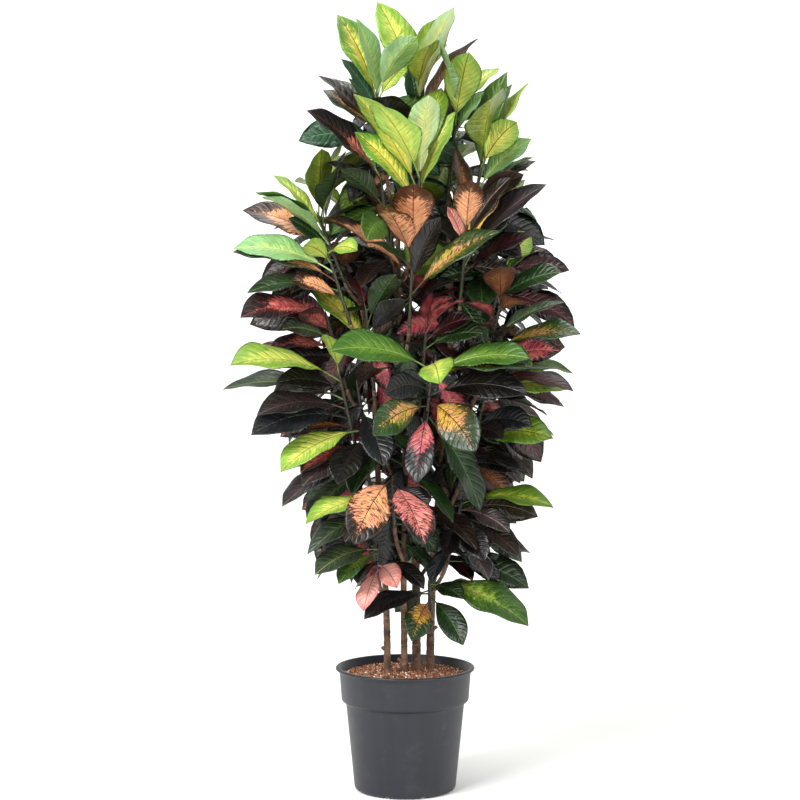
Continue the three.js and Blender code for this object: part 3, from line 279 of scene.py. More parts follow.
# Each shoot: its trunk, its foot and top, the length of it that bears leaves, how many spare leaves it has
# round its other sides, and the leaves seen from the front, lowest first. Such a leaf is given by the x and z
# of its tip on the front elevation, its length from the stem (below zero if it points away), the width that
# it shows, and its colouring.
SHOOTS = {
    "top_left": ("front", (-36, -4, 1190), (-54, -12, 1345), 95, 2, [
        (-168, 1381, 190, 24, "umber"), (-158, 1352, 150, 42, "amber"), (-110, 1376, 95, 22, "green"),
        (-141, 1376, -130, 14, "black"), (-123, 1412, 125, 32, "teal"), (-95, 1491, -170, 34, "mint"),
        (-130, 1496, 185, 62, "sunny"), (8, 1405, 95, 34, "lime"), (23, 1455, 150, 55, "mint"),
    ]),
    "top_middle": ("back", (14, 44, 1190), (22, 38, 1350), 80, 3, [
        (-60, 1338, 135, 40, "umber"), (142, 1452, 165, 26, "bronze"), (7, 1397, -97, 40, "teal"),
        (94, 1511, -190, 48, "pale"), (-54, 1521, -193, 70, "lime"), (66, 1491, 170, 56, "sunny"),
        (51, 1441, 122, 44, "sunny"),
    ]),
    "top_right": ("right", (84, 12, 1165), (98, 0, 1312), 80, 3, [
        (75, 1373, -110, 32, "umber"), (151, 1349, -110, 22, "mint"), (122, 1425, 165, 74, "lime"),
        (62, 1453, 165, 48, "mint"),
    ]),
    "crown_front": ("front", (20, -66, 1075), (28, -84, 1195), 70, 2, [
        (-98, 1273, 150, 48, "sunny"), (98, 1313, 150, 42, "lime"), (-100, 1346, 205, 48, "sunny"),
        (8, 1304, 125, 40, "pale"), (-58, 1326, 170, 58, "lime"), (45, 1343, 165, 66, "pale"),
    ]),
    "shoulder_right": ("right", (124, 2, 1080), (146, -14, 1215), 90, 1, [
        (228, 1192, 130, 44, "umber"), (252, 1217, 135, 26, "umber"), (247, 1224, 150, 14, "green"),
        (243, 1260, -130, 42, "mint"), (240, 1370, -190, 18, "lime"), (196, 1388, -190, 48, "green"),
        (206, 1366, -170, 46, "mint"), (214, 1292, 145, 62, "sunny"), (166, 1338, 160, 68, "olive"),
    ]),
    "shoulder_left": ("front", (-30, -36, 1050), (-46, -48, 1180), 80, 2, [
        (-75, 1066, 150, 66, "green"), (-125, 1201, 125, 40, "deep"), (-153, 1213, 130, 16, "black"),
        (-190, 1314, 205, 38, "dusk"),
    ]),
    "left_upper": ("left", (-116, 4, 985), (-166, -12, 1112), 80, 1, [
        (-225, 1108, 115, 32, "deep"), (-313, 1123, 165, 52, "ember"), (-280, 1150, -140, 26, "mint"),
        (-290, 1158, 140, 44, "green"), (-255, 1191, -130, 20, "lime"), (-112, 1238, -150, 22, "black"),
        (-120, 1252, 150, 30, "olive"), (-130, 1206, 120, 24, "deep"), (-160, 1241, 145, 50, "olive"),
    ]),
    "left_mid": ("left", (-104, -48, 905), (-146, -66, 1040), 95, 2, [
        (-222, 988, 120, 30, "ember"), (-305, 964, 180, 34, "deep"), (-332, 1043, 190, 44, "amber"),
        (-331, 1050, 190, 46, "mint"), (-195, 1056, 105, 42, "lime"), (-92, 1045, 100, 28, "lime"),
    ]),
    "centre_ember": ("front", (8, -60, 900), (14, -74, 1045), 85, 1, [
        (186, 1083, 190, 38, "gold"), (69, 1111, 145, 50, "black"), (-160, 1110, 190, 28, "ember"),
        (-76, 1063, 105, 16, "deep"), (-46, 1136, 145, 50, "peach"), (16, 1174, 160, 82, "ember"),
    ]),
    "right_ember": ("right", (104, -44, 940), (116, -64, 1085), 85, 1, [
        (255, 1078, 155, 28, "maroon"), (222, 1138, 125, 38, "sage"), (272, 1173, 175, 22, "mauve"),
        (190, 1171, 120, 36, "flame"), (80, 1131, 105, 24, "pink"), (205, 1188, 145, 38, "umber"),
        (126, 1181, 135, 62, "ember"), (95, 1246, -165, 40, "bronze"),
    ]),
    "right_mid": ("right", (154, 0, 880), (192, -16, 1018), 75, 2, [
        (302, 1005, 155, 38, "deep"), (246, 1003, -110, 34, "charcoal"), (251, 1057, -115, 26, "green"),
        (242, 1078, 115, 54, "lime"),
    ]),
    "right_brown": ("right", (146, -58, 800), (180, -76, 942), 85, 2, [
        (211, 902, 95, 20, "black"), (308, 947, 150, 18, "sage"), (150, 902, 100, 32, "maroon"),
        (115, 946, 120, 24, "crimson"), (233, 946, 115, 30, "bronze"), (182, 1014, 135, 66, "bronze"),
    ]),
    "centre_red": ("back", (30, -20, 775), (42, -44, 920), 80, 2, [
        (-10, 868, 110, 22, "charcoal"), (151, 886, 145, 36, "deep"), (130, 915, 125, 34, "maroon"),
        (112, 948, 120, 28, "crimson"), (45, 961, 100, 26, "crimson"), (90, 956, 110, 26, "crimson"),
    ]),
    "centre_left": ("left", (-60, -34, 780), (-74, -52, 930), 75, 2, [
        (-192, 979, 165, 44, "sunny"), (0, 952, 120, 44, "charcoal"), (-18, 1001, 130, 50, "deep"),
        (-5, 990, 125, 32, "gold"),
    ]),
    "left_red": ("left", (-112, -14, 780), (-150, -30, 920), 85, 1, [
        (-253, 822, 135, 44, "black"), (-262, 856, 140, 26, "coral"), (-237, 895, 125, 30, "sage"),
        (-205, 925, 110, 42, "coral"), (-290, 928, 160, 28, "coral"), (-318, 917, 200, 46, "coral"),
    ]),
    "left_low": ("left", (-92, -44, 660), (-126, -62, 815), 110, 1, [
        (-222, 688, 130, 24, "bronze"), (-298, 690, 215, 58, "charcoal"), (-287, 728, 180, 36, "mauve"),
        (-353, 778, 230, 30, "sage"), (-250, 790, 145, 34, "black"), (-338, 825, 215, 30, "lime"),
        (-150, 884, 115, 38, "lime"),
    ]),
    "centre_low": ("front", (38, -62, 690), (50, -84, 830), 100, 0, [
        (145, 541, 170, 54, "deep"), (23, 595, 165, 60, "wine"), (-63, 689, 160, 66, "gold"),
        (137, 657, 175, 84, "ginger"), (237, 768, 200, 56, "black"), (-40, 769, 130, 52, "charcoal"),
        (-15, 803, 105, 28, "charcoal"), (250, 818, 210, 28, "gold"), (241, 838, 200, 44, "green"),
        (-147, 853, 205, 54, "green"), (67, 789, 150, 74, "lime"),
    ]),
    "right_low": ("right", (142, -14, 720), (174, -30, 858), 90, 2, [
        (318, 779, 160, 42, "lime"), (325, 775, 175, 26, "maroon"), (326, 808, -170, 26, "green"),
        (246, 827, 120, 50, "green"), (339, 885, 175, 32, "gold"),
    ]),
    "right_lower": ("right", (102, -16, 590), (130, -30, 712), 80, 2, [
        (215, 617, 135, 30, "black"), (225, 620, 145, 14, "black"), (130, 607, 125, 36, "sage"),
        (286, 684, 170, 56, "olive"), (190, 683, 115, 32, "black"), (246, 707, 145, 44, "charcoal"),
    ]),
    "left_lower": ("left", (-66, -30, 585), (-82, -44, 702), 80, 1, [
        (-190, 521, 170, 38, "sage"), (-238, 551, 170, 26, "mauve"), (-200, 590, 140, 32, "mauve"),
        (-203, 616, 140, 28, "crimson"), (-130, 594, 145, 60, "black"), (-241, 618, 180, 44, "lime"),
    ]),
    "front_pink": ("front", (-20, -66, 520), (-24, -92, 616), 70, 1, [
        (-117, 482, 160, 30, "mauve"), (-190, 458, 200, 28, "sage"), (-193, 517, 190, 18, "lime"),
        (-152, 500, 158, 58, "umber"), (46, 552, 105, 28, "black"), (38, 475, 172, 62, "rose"),
        (-100, 476, 184, 84, "peach"),
    ]),
    "right_base": ("right", (82, -4, 445), (108, -22, 560), 75, 1, [
        (52, 400, 125, 26, "charcoal"), (162, 407, 155, 26, "mauve"), (78, 455, 115, 46, "black"),
        (155, 445, 125, 52, "black"), (221, 454, 160, 38, "umber"), (203, 500, 125, 34, "mauve"),
        (288, 549, 185, 26, "olive"),
    ]),
    "left_base": ("left", (-50, -40, 415), (-52, -52, 475), 40, 1, [
        (-81, 347, 130, 38, "pink"), (-15, 392, 115, 44, "pink"), (-93, 401, 115, 16, "black"),
        (37, 390, 130, 26, "black"), (-129, 400, 120, 30, "moss"), (-175, 418, 160, 38, "sage"),
    ]),
    "foot": ("right", (50, 4, 350), (46, -14, 402), 34, 1, [
        (12, 289, 135, 58, "ginger"), (113, 280, 140, 52, "deep"), (-80, 331, 150, 30, "charcoal"),
        (-20, 345, -115, 38, "deep"), (112, 371, 110, 24, "deep"), (240, 318, 240, 52, "moss"),
    ]),
    "inner_high": ("front", (-22, 20, 985), (-26, 18, 1085), 80, 7, []),
    "inner_middle": ("back", (4, 34, 850), (2, 10, 935), 80, 7, []),
    "inner_low": ("front", (-34, -14, 640), (-44, -22, 730), 80, 7, []),
    "inner_right": ("right", (100, 34, 800), (114, 56, 886), 80, 7, []),
    "inner_left": ("left", (-78, -8, 700), (-92, -16, 790), 80, 7, []),
    "inner_foot": ("back", (28, 8, 520), (30, -10, 605), 76, 6, []),
    "back_top": ("back", (-14, 98, 1140), (-34, 108, 1275), 100, 8, []),
    "back_crown": ("back", (66, 96, 1080), (92, 112, 1205), 100, 8, []),
    "back_left_high": ("left", (-96, 74, 1010), (-118, 92, 1130), 100, 8, []),
    "back_right_high": ("right", (134, 66, 960), (160, 82, 1075), 100, 8, []),
    "back_middle": ("back", (-34, 130, 900), (-56, 150, 1020), 100, 8, []),
    "back_right_mid": ("back", (50, 136, 830), (72, 156, 950), 100, 8, []),
    "back_left_low": ("left", (-116, 78, 760), (-146, 96, 875), 100, 8, []),
    "back_right_low": ("right", (138, 82, 700), (166, 100, 815), 100, 8, []),
    "back_low": ("back", (0, 132, 640), (-6, 154, 760), 100, 8, []),
    "back_foot_left": ("left", (-80, 74, 540), (-98, 92, 640), 90, 8, []),
    "back_foot_right": ("back", (64, 96, 480), (78, 116, 590), 90, 8, []),
}


def quadratic(start, crest, end):
    """The curve (1-t)^2 start + 2 t (1-t) crest + t^2 end, as a function of an array of t."""
    def curve(t):
        t = t[:, None]
        return (1 - t) ** 2 * start + 2 * t * (1 - t) * crest + t * t * end
    return curve


def straight(start, end):
    """The line from start to end, as a function of an array of t."""
    return lambda t: start + (end - start) * t[:, None]


def through(points):
    """A centripetal Catmull-Rom curve: each span is a cubic in t whose end slopes come from the distances, to
    the power of a half, between the points beside it."""
    inner = np.array(points, float)
    padded = np.concatenate([[2 * inner[0] - inner[1]], inner, [2 * inner[-1] - inner[-2]]])
    gap = (np.diff(padded, axis=0) ** 2).sum(-1) ** 0.25

    def curve(t):
        place = t * (len(inner) - 1)
        i = np.minimum(place.astype(int), len(inner) - 2)
        w = (place - i)[:, None]
        p0, p1, p2, p3 = (padded[i + k] for k in range(4))
        g0, g1, g2 = (gap[i + k][:, None] for k in range(3))
        slope1 = ((p1 - p0) / g0 - (p2 - p0) / (g0 + g1) + (p2 - p1) / g1) * g1
        slope2 = ((p2 - p1) / g1 - (p3 - p1) / (g1 + g2) + (p3 - p2) / g2) * g1
        square = 3 * (p2 - p1) - 2 * slope1 - slope2
        return p1 + slope1 * w + square * w ** 2 + (2 * (p1 - p2) + slope1 + slope2) * w ** 3

    return curve


def directions(curve, t):
    """Unit tangents of a curve, from points a little before and after each t."""
    step = curve(np.minimum(t + 1e-4, 1)) - curve(np.maximum(t - 1e-4, 0))
    return step / np.linalg.norm(step, axis=-1, keepdims=True)


def swung(arm, axis, angle):
    """An arm turned about unit axes by angles: a cos + (k x a) sin + k (k . a) (1 - cos)."""
    cos, sin = np.cos(angle)[..., None], np.sin(angle)[..., None]
    return arm * cos + np.cross(axis, arm) * sin + axis * (axis * arm).sum(-1, keepdims=True) * (1 - cos)


def unit(vector):
    """A vector made one long."""
    return vector / np.linalg.norm(vector)


def height_on(curve, z):
    """The point of a climbing curve at a height, by halving."""
    low, high = 0.0, 1.0
    for _ in range(40):
        middle = (low + high) / 2
        if curve(np.array([middle]))[0, 2] < z:
            low = middle
        else:
            high = middle
    return curve(np.array([low]))[0]


trunk_curves = {name: through(trunk[0]) for name, trunk in TRUNKS.items()}
shoots = []
for order, (name, (trunk, foot, top, leafy, spare, leaves)) in enumerate(SHOOTS.items()):
    foot, top = np.array(foot, float), np.array(top, float)
    heading = unit(top - foot)
    curve = trunk_curves[trunk]
    end = curve(np.array([1.0]))[0]
    reach = np.hypot(*(height_on(curve, foot[2]) - foot)[:2])
    start = end if foot[2] - end[2] > reach else height_on(curve, foot[2] - BRANCH_RUN * reach - BRANCH_DROP)
    bow = foot - heading * BRANCH_BOW * np.linalg.norm(start - foot)
    shoots.append(SimpleNamespace(
        name=name, order=order, trunk=trunk, top=top, leafy=leafy, spare=spare, leaves=leaves, grown=[],
        branch=quadratic(start, bow, foot), line=straight(foot + heading * SEAT_GAP, top),
        length=np.linalg.norm(top - foot) - SEAT_GAP,
    ))


def tube(curve, steps, sides, radius, tip=0.0):
    """A closed round stem: point (i, n) is c(t_i) + r(t_i, a_n) times a unit arm square to the curve, carried
    along it without twist and turned by a_n. Flat ends, or a point that stands tip beyond the end."""
    t = np.linspace(0, 1, steps + 1)
    centre, tangent = curve(t), directions(curve, t)
    arm, arms = unit(np.cross((0, 1, 0), tangent[0])), []
    for along in tangent:
        arm = unit(arm - along * arm.dot(along))
        arms.append(arm)
    turn = 2 * np.pi * np.arange(sides) / sides
    spokes = swung(np.array(arms)[:, None], tangent[:, None], np.broadcast_to(turn, (steps + 1, sides)))
    points = centre[:, None] + spokes * radius(t[:, None], turn[None])[..., None]
    poles = np.stack([centre[0], centre[-1] + tangent[-1] * tip])
    return np.concatenate([points.reshape(-1, 3), poles]), closed_faces(steps + 1, sides)


def joined(shapes):
    """Several shapes of points and faces as one."""
    points, faces, start = [], [], 0
    for more_points, more_faces in shapes:
        points.append(more_points)
        faces += [[start + corner for corner in face] for face in more_faces]
        start += len(more_points)
    return np.concatenate(points), faces


def bark_radius(low, high, scar_gap, seed):
    """A stem's radius at t and turn: it tapers evenly, swells at each old scar, and is uneven all over."""
    def radius(t, turn):
        even = low + (high - low) * t
        scars = np.cos(2 * np.pi * t / scar_gap + 0.7 * np.sin(turn + seed)) ** 8
        lumps = np.sin(3 * turn + 9 * t / scar_gap + seed) + np.sin(2 * turn - 5 * t / scar_gap + 2 * seed)
        return even * (0.93 + 0.06 * scars + 0.025 * lumps)
    return radius


def fine_wood(curve, fineness, low, high, seed):
    """A stem along a curve, from its lower radius to its higher one, with bark that is uneven by its seed."""
    steps, sides, scar_gap = fineness
    return tube(curve, steps, sides, bark_radius(low, high, scar_gap, seed))


# Croton wood: grey-brown bark with pale leaf scars across it, long fine cracks, and a dull surface.
bark, tree, where = new_material("croton_bark")
crack_place = add_node(tree, "Mapping", {"Vector": where, "Scale": (420, 420, 60)})
cracks = add_node(tree, "TexNoise", {"Vector": crack_place, "Scale": 1.0, "Detail": 5.0, "Roughness": 0.7})
patches = add_node(tree, "TexNoise", {"Vector": where, "Scale": 60.0, "Detail": 3.0})
scar_place = add_node(tree, "Mapping", {"Vector": where, "Scale": (40, 40, 160)})
scars = add_node(tree, "TexNoise", {"Vector": scar_place, "Scale": 1.0, "Detail": 2.0})
patch_share = add_node(tree, "MapRange", {0: patches, 1: 0.35, 2: 0.7}, **SOFT)
scar_share = add_node(tree, "MapRange", {0: scars, 1: 0.58, 2: 0.72, 4: 0.6}, **SOFT)
crack_share = add_node(tree, "MapRange", {0: cracks, 1: 0.5, 2: 0.75, 4: 0.7}, **SOFT)
wood = add_node(
    tree, "Mix", {0: patch_share, 6: hex_color("#4A3426"), 7: hex_color("#80614A")}, data_type="RGBA")
scarred = add_node(tree, "Mix", {0: scar_share, 6: wood, 7: hex_color("#A3866A")}, data_type="RGBA")
color = add_node(tree, "Mix", {0: crack_share, 6: scarred, 7: hex_color("#2E2019")}, data_type="RGBA")
bump = add_node(tree, "Bump", {"Height": cracks, "Distance": 0.0008, "Strength": 0.8})
surface = add_node(tree, "BsdfPrincipled", {"Base Color": color, "Roughness": 0.78, "Normal": bump})
add_node(tree, "OutputMaterial", {"Surface": surface})

for seed, (name, (_, (low, high))) in enumerate(TRUNKS.items()):
    wooden = [fine_wood(trunk_curves[name], FINE_TRUNK, low, high, seed)]
    for shoot in shoots:
        if shoot.trunk == name:
            wooden.append(fine_wood(shoot.branch, FINE_BRANCH, TWIG_RADIUS, SHOOT_RADIUS, shoot.order))
    for trunk, start, end in SNAGS:
        if trunk == name:
            snag = straight(np.array(start, float), np.array(end, float))
            wooden.append(fine_wood(snag, FINE_SNAG, SNAG_RADIUS, SNAG_RADIUS, SNAG_SEED))
    trunk = new_piece("wood_" + name, *joined(wooden), bark)
    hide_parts("trunk_" + name)
    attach(trunk, "root")


# Leaves: each one is rooted in its shoot by a short petiole. A leaf seen from the front keeps its tip's place
# in that view and gives way in depth to what grows there already; spare leaves then fill the other sides.
PETIOLE_SHARE, PETIOLE_RADIUS, ROOT_OFFSET = 0.14, 1.6, 1.2
BLADE_THICKNESS, WIDTH_SHARE, SPARE_WIDTH_SHARE, BLADE_FOLD = 0.9, 0.42, 0.4, math.radians(15)
FOOT_TAPER, TIP_TAPER = 1.1, 0.87
WIDEST = FOOT_TAPER / (FOOT_TAPER + TIP_TAPER)
BLADE_STATIONS, SPARE_BLADE_STATIONS, BROAD = np.array([0.3, 0.58, 0.84]), np.array([0.38, 0.74]), 46
UPRIGHT_ARCH, LEVEL_ARCH = 0.055, 0.055
DROOP, RISE, SPARE_LENGTH, SPARE_SHORTENING, OUTWARD_PULL, SPARE_ROLL = 0.75, 1.55, 190, 45, 0.35, 0.35
FAN_AWAY, FAN_WIDENING, BEARING_SCATTER, PITCH_SCATTER, LENGTH_SCATTER = 0.9, 0.4, 0.6, 0.15, 12
KEEP_OUT, STEM_KEEP_OUT, DEPTH_STEP, SPARE_STEP = 1.6, 2, 17, 15
SPARE_SEED, SPARE_SEED_STEP = 17, 5
GOLDEN_ANGLE = math.radians(137.508)
EYE_DISTANCE, EYE_HEIGHT = 4060, 1000
DEPTH_SHIFTS = [0] + [sign * i for i in range(1, 8) for sign in (-1, 1)]
ROLL_TRIES = (0, 0.25, -0.25, 0.5, -0.5)
SHORTER_TRIES = (1, 0.86, 0.74)
EIGHTHS = [n * math.pi / 4 for n in range(8)]
SPARE_SHIFTS = [(0, 0)] + [(ring * math.cos(a), ring * math.sin(a)) for ring in range(1, 5) for a in EIGHTHS]


def at_depth(x, z, y):
    """A point seen at x and z on the front elevation, taken to the depth y where it really is."""
    reach = (EYE_DISTANCE + y) / EYE_DISTANCE
    return np.array([x * reach, y, EYE_HEIGHT + (z - EYE_HEIGHT) * reach])


def scatter(seed):
    """A fair scatter from -1 to 1 that is the same on every run."""
    x = math.sin(seed * 12.9898 + 4.1414) * 43758.5453
    return 2 * (x - math.floor(x)) - 1


def blade_share(u):
    """A blade's width at u from its foot to its tip, as a share of its widest, w being where it is widest:
    (u / w) to the power of FOOT_TAPER, times ((1 - u) / (1 - w)) to that of TIP_TAPER."""
    return (u / WIDEST) ** FOOT_TAPER * ((1 - u) / (1 - WIDEST)) ** TIP_TAPER


def lay_leaf(root, tip, width, roll):
    """A leaf's midrib, an arched curve in an upright plane, with its width and how far it rolls about it."""
    length = np.linalg.norm(tip - root)
    along = (tip - root) / length
    level = math.hypot(along[0], along[1])
    side = np.array([-along[1] / level, along[0] / level, 0]) if level > 0.02 else np.array([1.0, 0, 0])
    arch = UPRIGHT_ARCH + LEVEL_ARCH * (1 - abs(tip[2] - root[2]) / length)
    crest = (root + tip) / 2 + np.cross(along, side) * arch * length * 2
    return SimpleNamespace(root=root, tip=tip, width=width, roll=roll, side=side, length=length,
                           midrib=quadratic(root, crest, tip))


def sections(leaf, u):
    """At each share u of a blade: its midrib's point, the directions across and out of its face, and half its
    width."""
    s = PETIOLE_SHARE + (1 - PETIOLE_SHARE) * u
    tangent = directions(leaf.midrib, s)
    across = swung(leaf.side, tangent, np.full(len(u), leaf.roll))
    return leaf.midrib(s), across, np.cross(tangent, across), 0.5 * leaf.width * blade_share(u)


def folded(leaf, u, extra=0.0):
    """The midrib's points at u, and the blade's left and right edges there, raised by the fold."""
    at, across, face, half = sections(leaf, u)
    half = (half + extra)[:, None]
    rise = face * half * math.sin(BLADE_FOLD)
    out = across * half * math.cos(BLADE_FOLD)
    return at, at + out + rise, at - out + rise, face


def roll_to_show(root, tip, width, shown):
    """The least roll that shows the wanted width to the front, with the upper face first."""
    along = unit(tip - root)
    side = unit(np.array([-along[1], along[0], 0]))
    top = np.cross(along, side)
    over = unit(np.array([-along[2], 0, along[0]]))
    a, b = side.dot(over), top.dot(over)
    lean, opening = math.atan2(b, a), math.acos(min(1, shown / (width * math.hypot(a, b))))
    best, least = 0, math.inf
    for turn in (lean + opening, lean - opening):
        roll = turn - math.pi * math.floor(turn / math.pi + 0.5)
        face = top * math.cos(roll) - side * math.sin(roll)
        cost = abs(roll) + (0.5 if face[1] > 0 else 0)
        if cost < least:
            best, least = roll, cost
    return best


def petiole_ring(leaf, s, extra=0.0):
    """A petiole's three-sided section at a share s of its leaf's length."""
    s = np.full(3, float(s))
    turn = leaf.roll + np.arange(3) * 2 * np.pi / 3 - np.pi / 6
    return leaf.midrib(s) + swung(leaf.side, directions(leaf.midrib, s), turn) * (PETIOLE_RADIUS + extra)


def blade_facets(leaf, stations):
    """A blade's middle surface as triangles."""
    centre, left, right, face = folded(leaf, np.concatenate([[0.0], stations]))
    facets = []
    for edge in (left, right):
        facets.append((centre[0], edge[1], centre[1]))
        for a, b in zip(range(1, len(edge) - 1), range(2, len(edge))):
            facets += [(edge[a], centre[a], centre[b]), (edge[a], centre[b], edge[b])]
        facets.append((edge[-1], centre[-1], leaf.tip))
    return np.array(facets)


def petiole_facets(leaf):
    """A petiole's sides as triangles, from just off the stem."""
    near, far = petiole_ring(leaf, 0.04), petiole_ring(leaf, PETIOLE_SHARE + 0.02)
    facets = []
    for i, j in ((0, 1), (1, 2), (2, 0)):
        facets += [(near[i], near[j], far[j]), (near[i], far[j], far[i])]
    return np.array(facets)


def shell(rings):
    """The triangles of a closed body through rings of points, of which the last may be a single point."""
    starts = np.cumsum([0] + [len(ring) for ring in rings])
    faces = [(0, i + 1, i) for i in range(1, len(rings[0]) - 1)]
    faces += [(starts[-2], starts[-2] + i, starts[-2] + i + 1) for i in range(1, len(rings[-1]) - 1)]
    for r in range(len(rings) - 1):
        m, n = len(rings[r]), len(rings[r + 1])
        near = [starts[r] + i % m for i in range(m + 1)]
        far = [starts[r + 1] + j % n for j in range(n + 1)]
        if n == 1:
            faces += [(near[i], near[i + 1], far[0]) for i in range(m)]
        elif m == n:
            for i in range(m):
                if m == 6 and i % 3 == 1:
                    faces += [(near[i], near[i + 1], far[i]), (near[i + 1], far[i + 1], far[i])]
                else:
                    faces += [(near[i], near[i + 1], far[i + 1]), (near[i], far[i + 1], far[i])]
        else:
            i = j = 0
            while i < m or j < n:
                if j >= n or (i < m and (i + 0.5) / m <= (j + 0.5) / n):
                    faces.append((near[i], near[i + 1], far[j]))
                    i += 1
                else:
                    faces.append((near[i], far[j + 1], far[j]))
                    j += 1
    return np.concatenate(rings).astype(np.float32).astype(float)[np.array(faces)]


def leaf_shell(leaf, stations):
    """A leaf's closed body, drawn KEEP_OUT too large."""
    centre, left, right, face = folded(leaf, stations, KEEP_OUT)
    thick = face * (BLADE_THICKNESS / 2 + KEEP_OUT)
    upper = [left + thick, centre + thick, right + thick]
    under = [right - thick, centre - thick, left - thick]
    blade = np.stack(upper + under, 1)
    end = leaf.tip + directions(leaf.midrib, np.array([1.0]))[0] * 2 * KEEP_OUT
    petiole = [petiole_ring(leaf, s, KEEP_OUT) for s in (0, PETIOLE_SHARE)]
    return shell([*petiole, *blade, end[None]])


def stem_shell(curve, steps, sides, low, high, tip=0.0):
    """A stem's closed body as triangles, drawn STEM_KEEP_OUT too large."""
    low, high = low + STEM_KEEP_OUT, high + STEM_KEEP_OUT
    points, faces = tube(curve, steps, sides, lambda t, turn: low + (high - low) * t + 0 * turn, tip)
    rings = list(points[:-2].reshape(steps + 1, sides, 3))
    return shell(rings + [points[-1:]] if tip else rings)


def crosses(mine, theirs):
    """Whether an edge of one set of triangles passes through a triangle of the other set. Only edges whose
    ends lie on two sides of a triangle's plane are looked at closely."""
    for edges, faces in ((mine, theirs), (theirs, mine)):
        starts, ends = edges.reshape(-1, 3), np.roll(edges, -1, axis=1).reshape(-1, 3)
        normals = np.cross(faces[:, 1] - faces[:, 0], faces[:, 2] - faces[:, 0])
        level = (faces[:, 0] * normals).sum(-1)
        e, f = np.nonzero((starts @ normals.T > level) != (ends @ normals.T > level))
        run, off = ends[e] - starts[e], starts[e] - faces[f, 0]
        first, second = faces[f, 1] - faces[f, 0], faces[f, 2] - faces[f, 0]
        lean = -(run * normals[f]).sum(-1)
        turn = np.cross(off, first)
        u, v = (np.cross(off, run) * second).sum(-1) / lean, (run * turn).sum(-1) / lean
        if ((u >= 0) & (v >= 0) & (u + v <= 1)).any():
            return True
    return False


# What stands in the way of a leaf: triangles, with the shoot that each belongs to (-1 for wood), and whether
# it is a stem's.
kept_facets, kept_owner, kept_stem = np.empty((0, 3, 3)), np.empty(0, int), np.empty(0, bool)
kept_low, kept_high = np.empty((0, 3)), np.empty((0, 3))


def keep(facets, owner, is_stem):
    """Puts a body's triangles in the way of the leaves that come after it."""
    global kept_facets, kept_owner, kept_stem, kept_low, kept_high
    kept_facets = np.concatenate([kept_facets, facets])
    kept_owner = np.concatenate([kept_owner, np.full(len(facets), owner)])
    kept_stem = np.concatenate([kept_stem, np.full(len(facets), is_stem)])
    kept_low = np.concatenate([kept_low, facets.min(1)])
    kept_high = np.concatenate([kept_high, facets.max(1)])


def is_clear(leaf, shoot, stations, mind_own):
    """Whether a leaf crosses nothing of another shoot or of the wood, nor, if it minds them, its own shoot's
    leaves."""
    blade = blade_facets(leaf, stations)
    whole = np.concatenate([blade, petiole_facets(leaf)])
    low, high = whole.min((0, 1)), whole.max((0, 1))
    near = ((kept_low <= high) & (kept_high >= low)).all(-1)
    own = kept_owner == shoot.order
    others, siblings = kept_facets[near & ~own], kept_facets[near & own & ~kept_stem]
    return not (crosses(whole, others) or (mind_own and crosses(blade, siblings)))


def stem_point(shoot, rank):
    """The point of a shoot's stem that bears the leaf of a rank, from the lowest (0) to the youngest (1)."""
    return shoot.line(np.array([1 - (1 - rank) * shoot.leafy / shoot.length]))[0]


def root_toward(middle, target):
    """Where a leaf that heads for a point is rooted, a little off the middle of its stem."""
    return middle + unit((target - middle) * (1, 1, 0)) * ROOT_OFFSET


def place_seen_leaf(middle, x, z, reach, shown, shoot):
    """A leaf whose tip keeps its place in the front view, moved in depth until it is clear."""
    stations = BLADE_STATIONS if shown > BROAD else SPARE_BLADE_STATIONS
    flat = at_depth(x, z, middle[1])
    depth = math.sqrt(max(0, reach ** 2 - math.hypot(flat[0] - middle[0], flat[2] - middle[2]) ** 2))
    depth = depth if reach < 0 else -depth
    for mind_own in (True, False):
        for turn in ROLL_TRIES:
            for shift in DEPTH_SHIFTS:
                tip = at_depth(x, z, middle[1] + depth + shift * DEPTH_STEP)
                root = root_toward(middle, tip)
                width = max(shown, WIDTH_SHARE * np.linalg.norm(tip - root))
                leaf = lay_leaf(root, tip, width, roll_to_show(root, tip, width, shown) + turn)
                if is_clear(leaf, shoot, stations, mind_own):
                    return leaf, stations
    return None, stations


def place_spare_leaf(shoot, index, seed):
    """One of the leaves of a shoot's other sides, by the golden angle, drooping more the lower it sits. On a
    shoot that is seen from the front they all point away from it."""
    rank = index / (shoot.spare - 1) if shoot.spare > 1 else 0.5
    away = math.pi / 2 + FAN_AWAY * scatter(seed + 3) * (1 + FAN_WIDENING * index)
    bearing = away if shoot.leaves else GOLDEN_ANGLE * index + BEARING_SCATTER * scatter(seed)
    pitch = -DROOP + RISE * rank ** 1.5 + PITCH_SCATTER * scatter(seed + 1)
    reach = SPARE_LENGTH - SPARE_SHORTENING * rank + LENGTH_SCATTER * scatter(seed + 2)
    roll = SPARE_ROLL * scatter(seed + 4)
    outward = unit(shoot.top * (1, 1, 0))
    level = unit(np.array([math.cos(bearing), math.sin(bearing), 0]) + outward * OUTWARD_PULL)
    across = np.array([-level[1], level[0], 0])
    root = stem_point(shoot, rank) + level * ROOT_OFFSET
    for share in SHORTER_TRIES:
        for sideways, upwards in SPARE_SHIFTS:
            rise = np.array([0, 0, share * reach * math.sin(pitch) + upwards * SPARE_STEP])
            tip = root + level * share * reach * math.cos(pitch) + rise + across * sideways * SPARE_STEP
            leaf = lay_leaf(root, tip, SPARE_WIDTH_SHARE * np.linalg.norm(tip - root), roll)
            if is_clear(leaf, shoot, SPARE_BLADE_STATIONS, True):
                return leaf
    return None


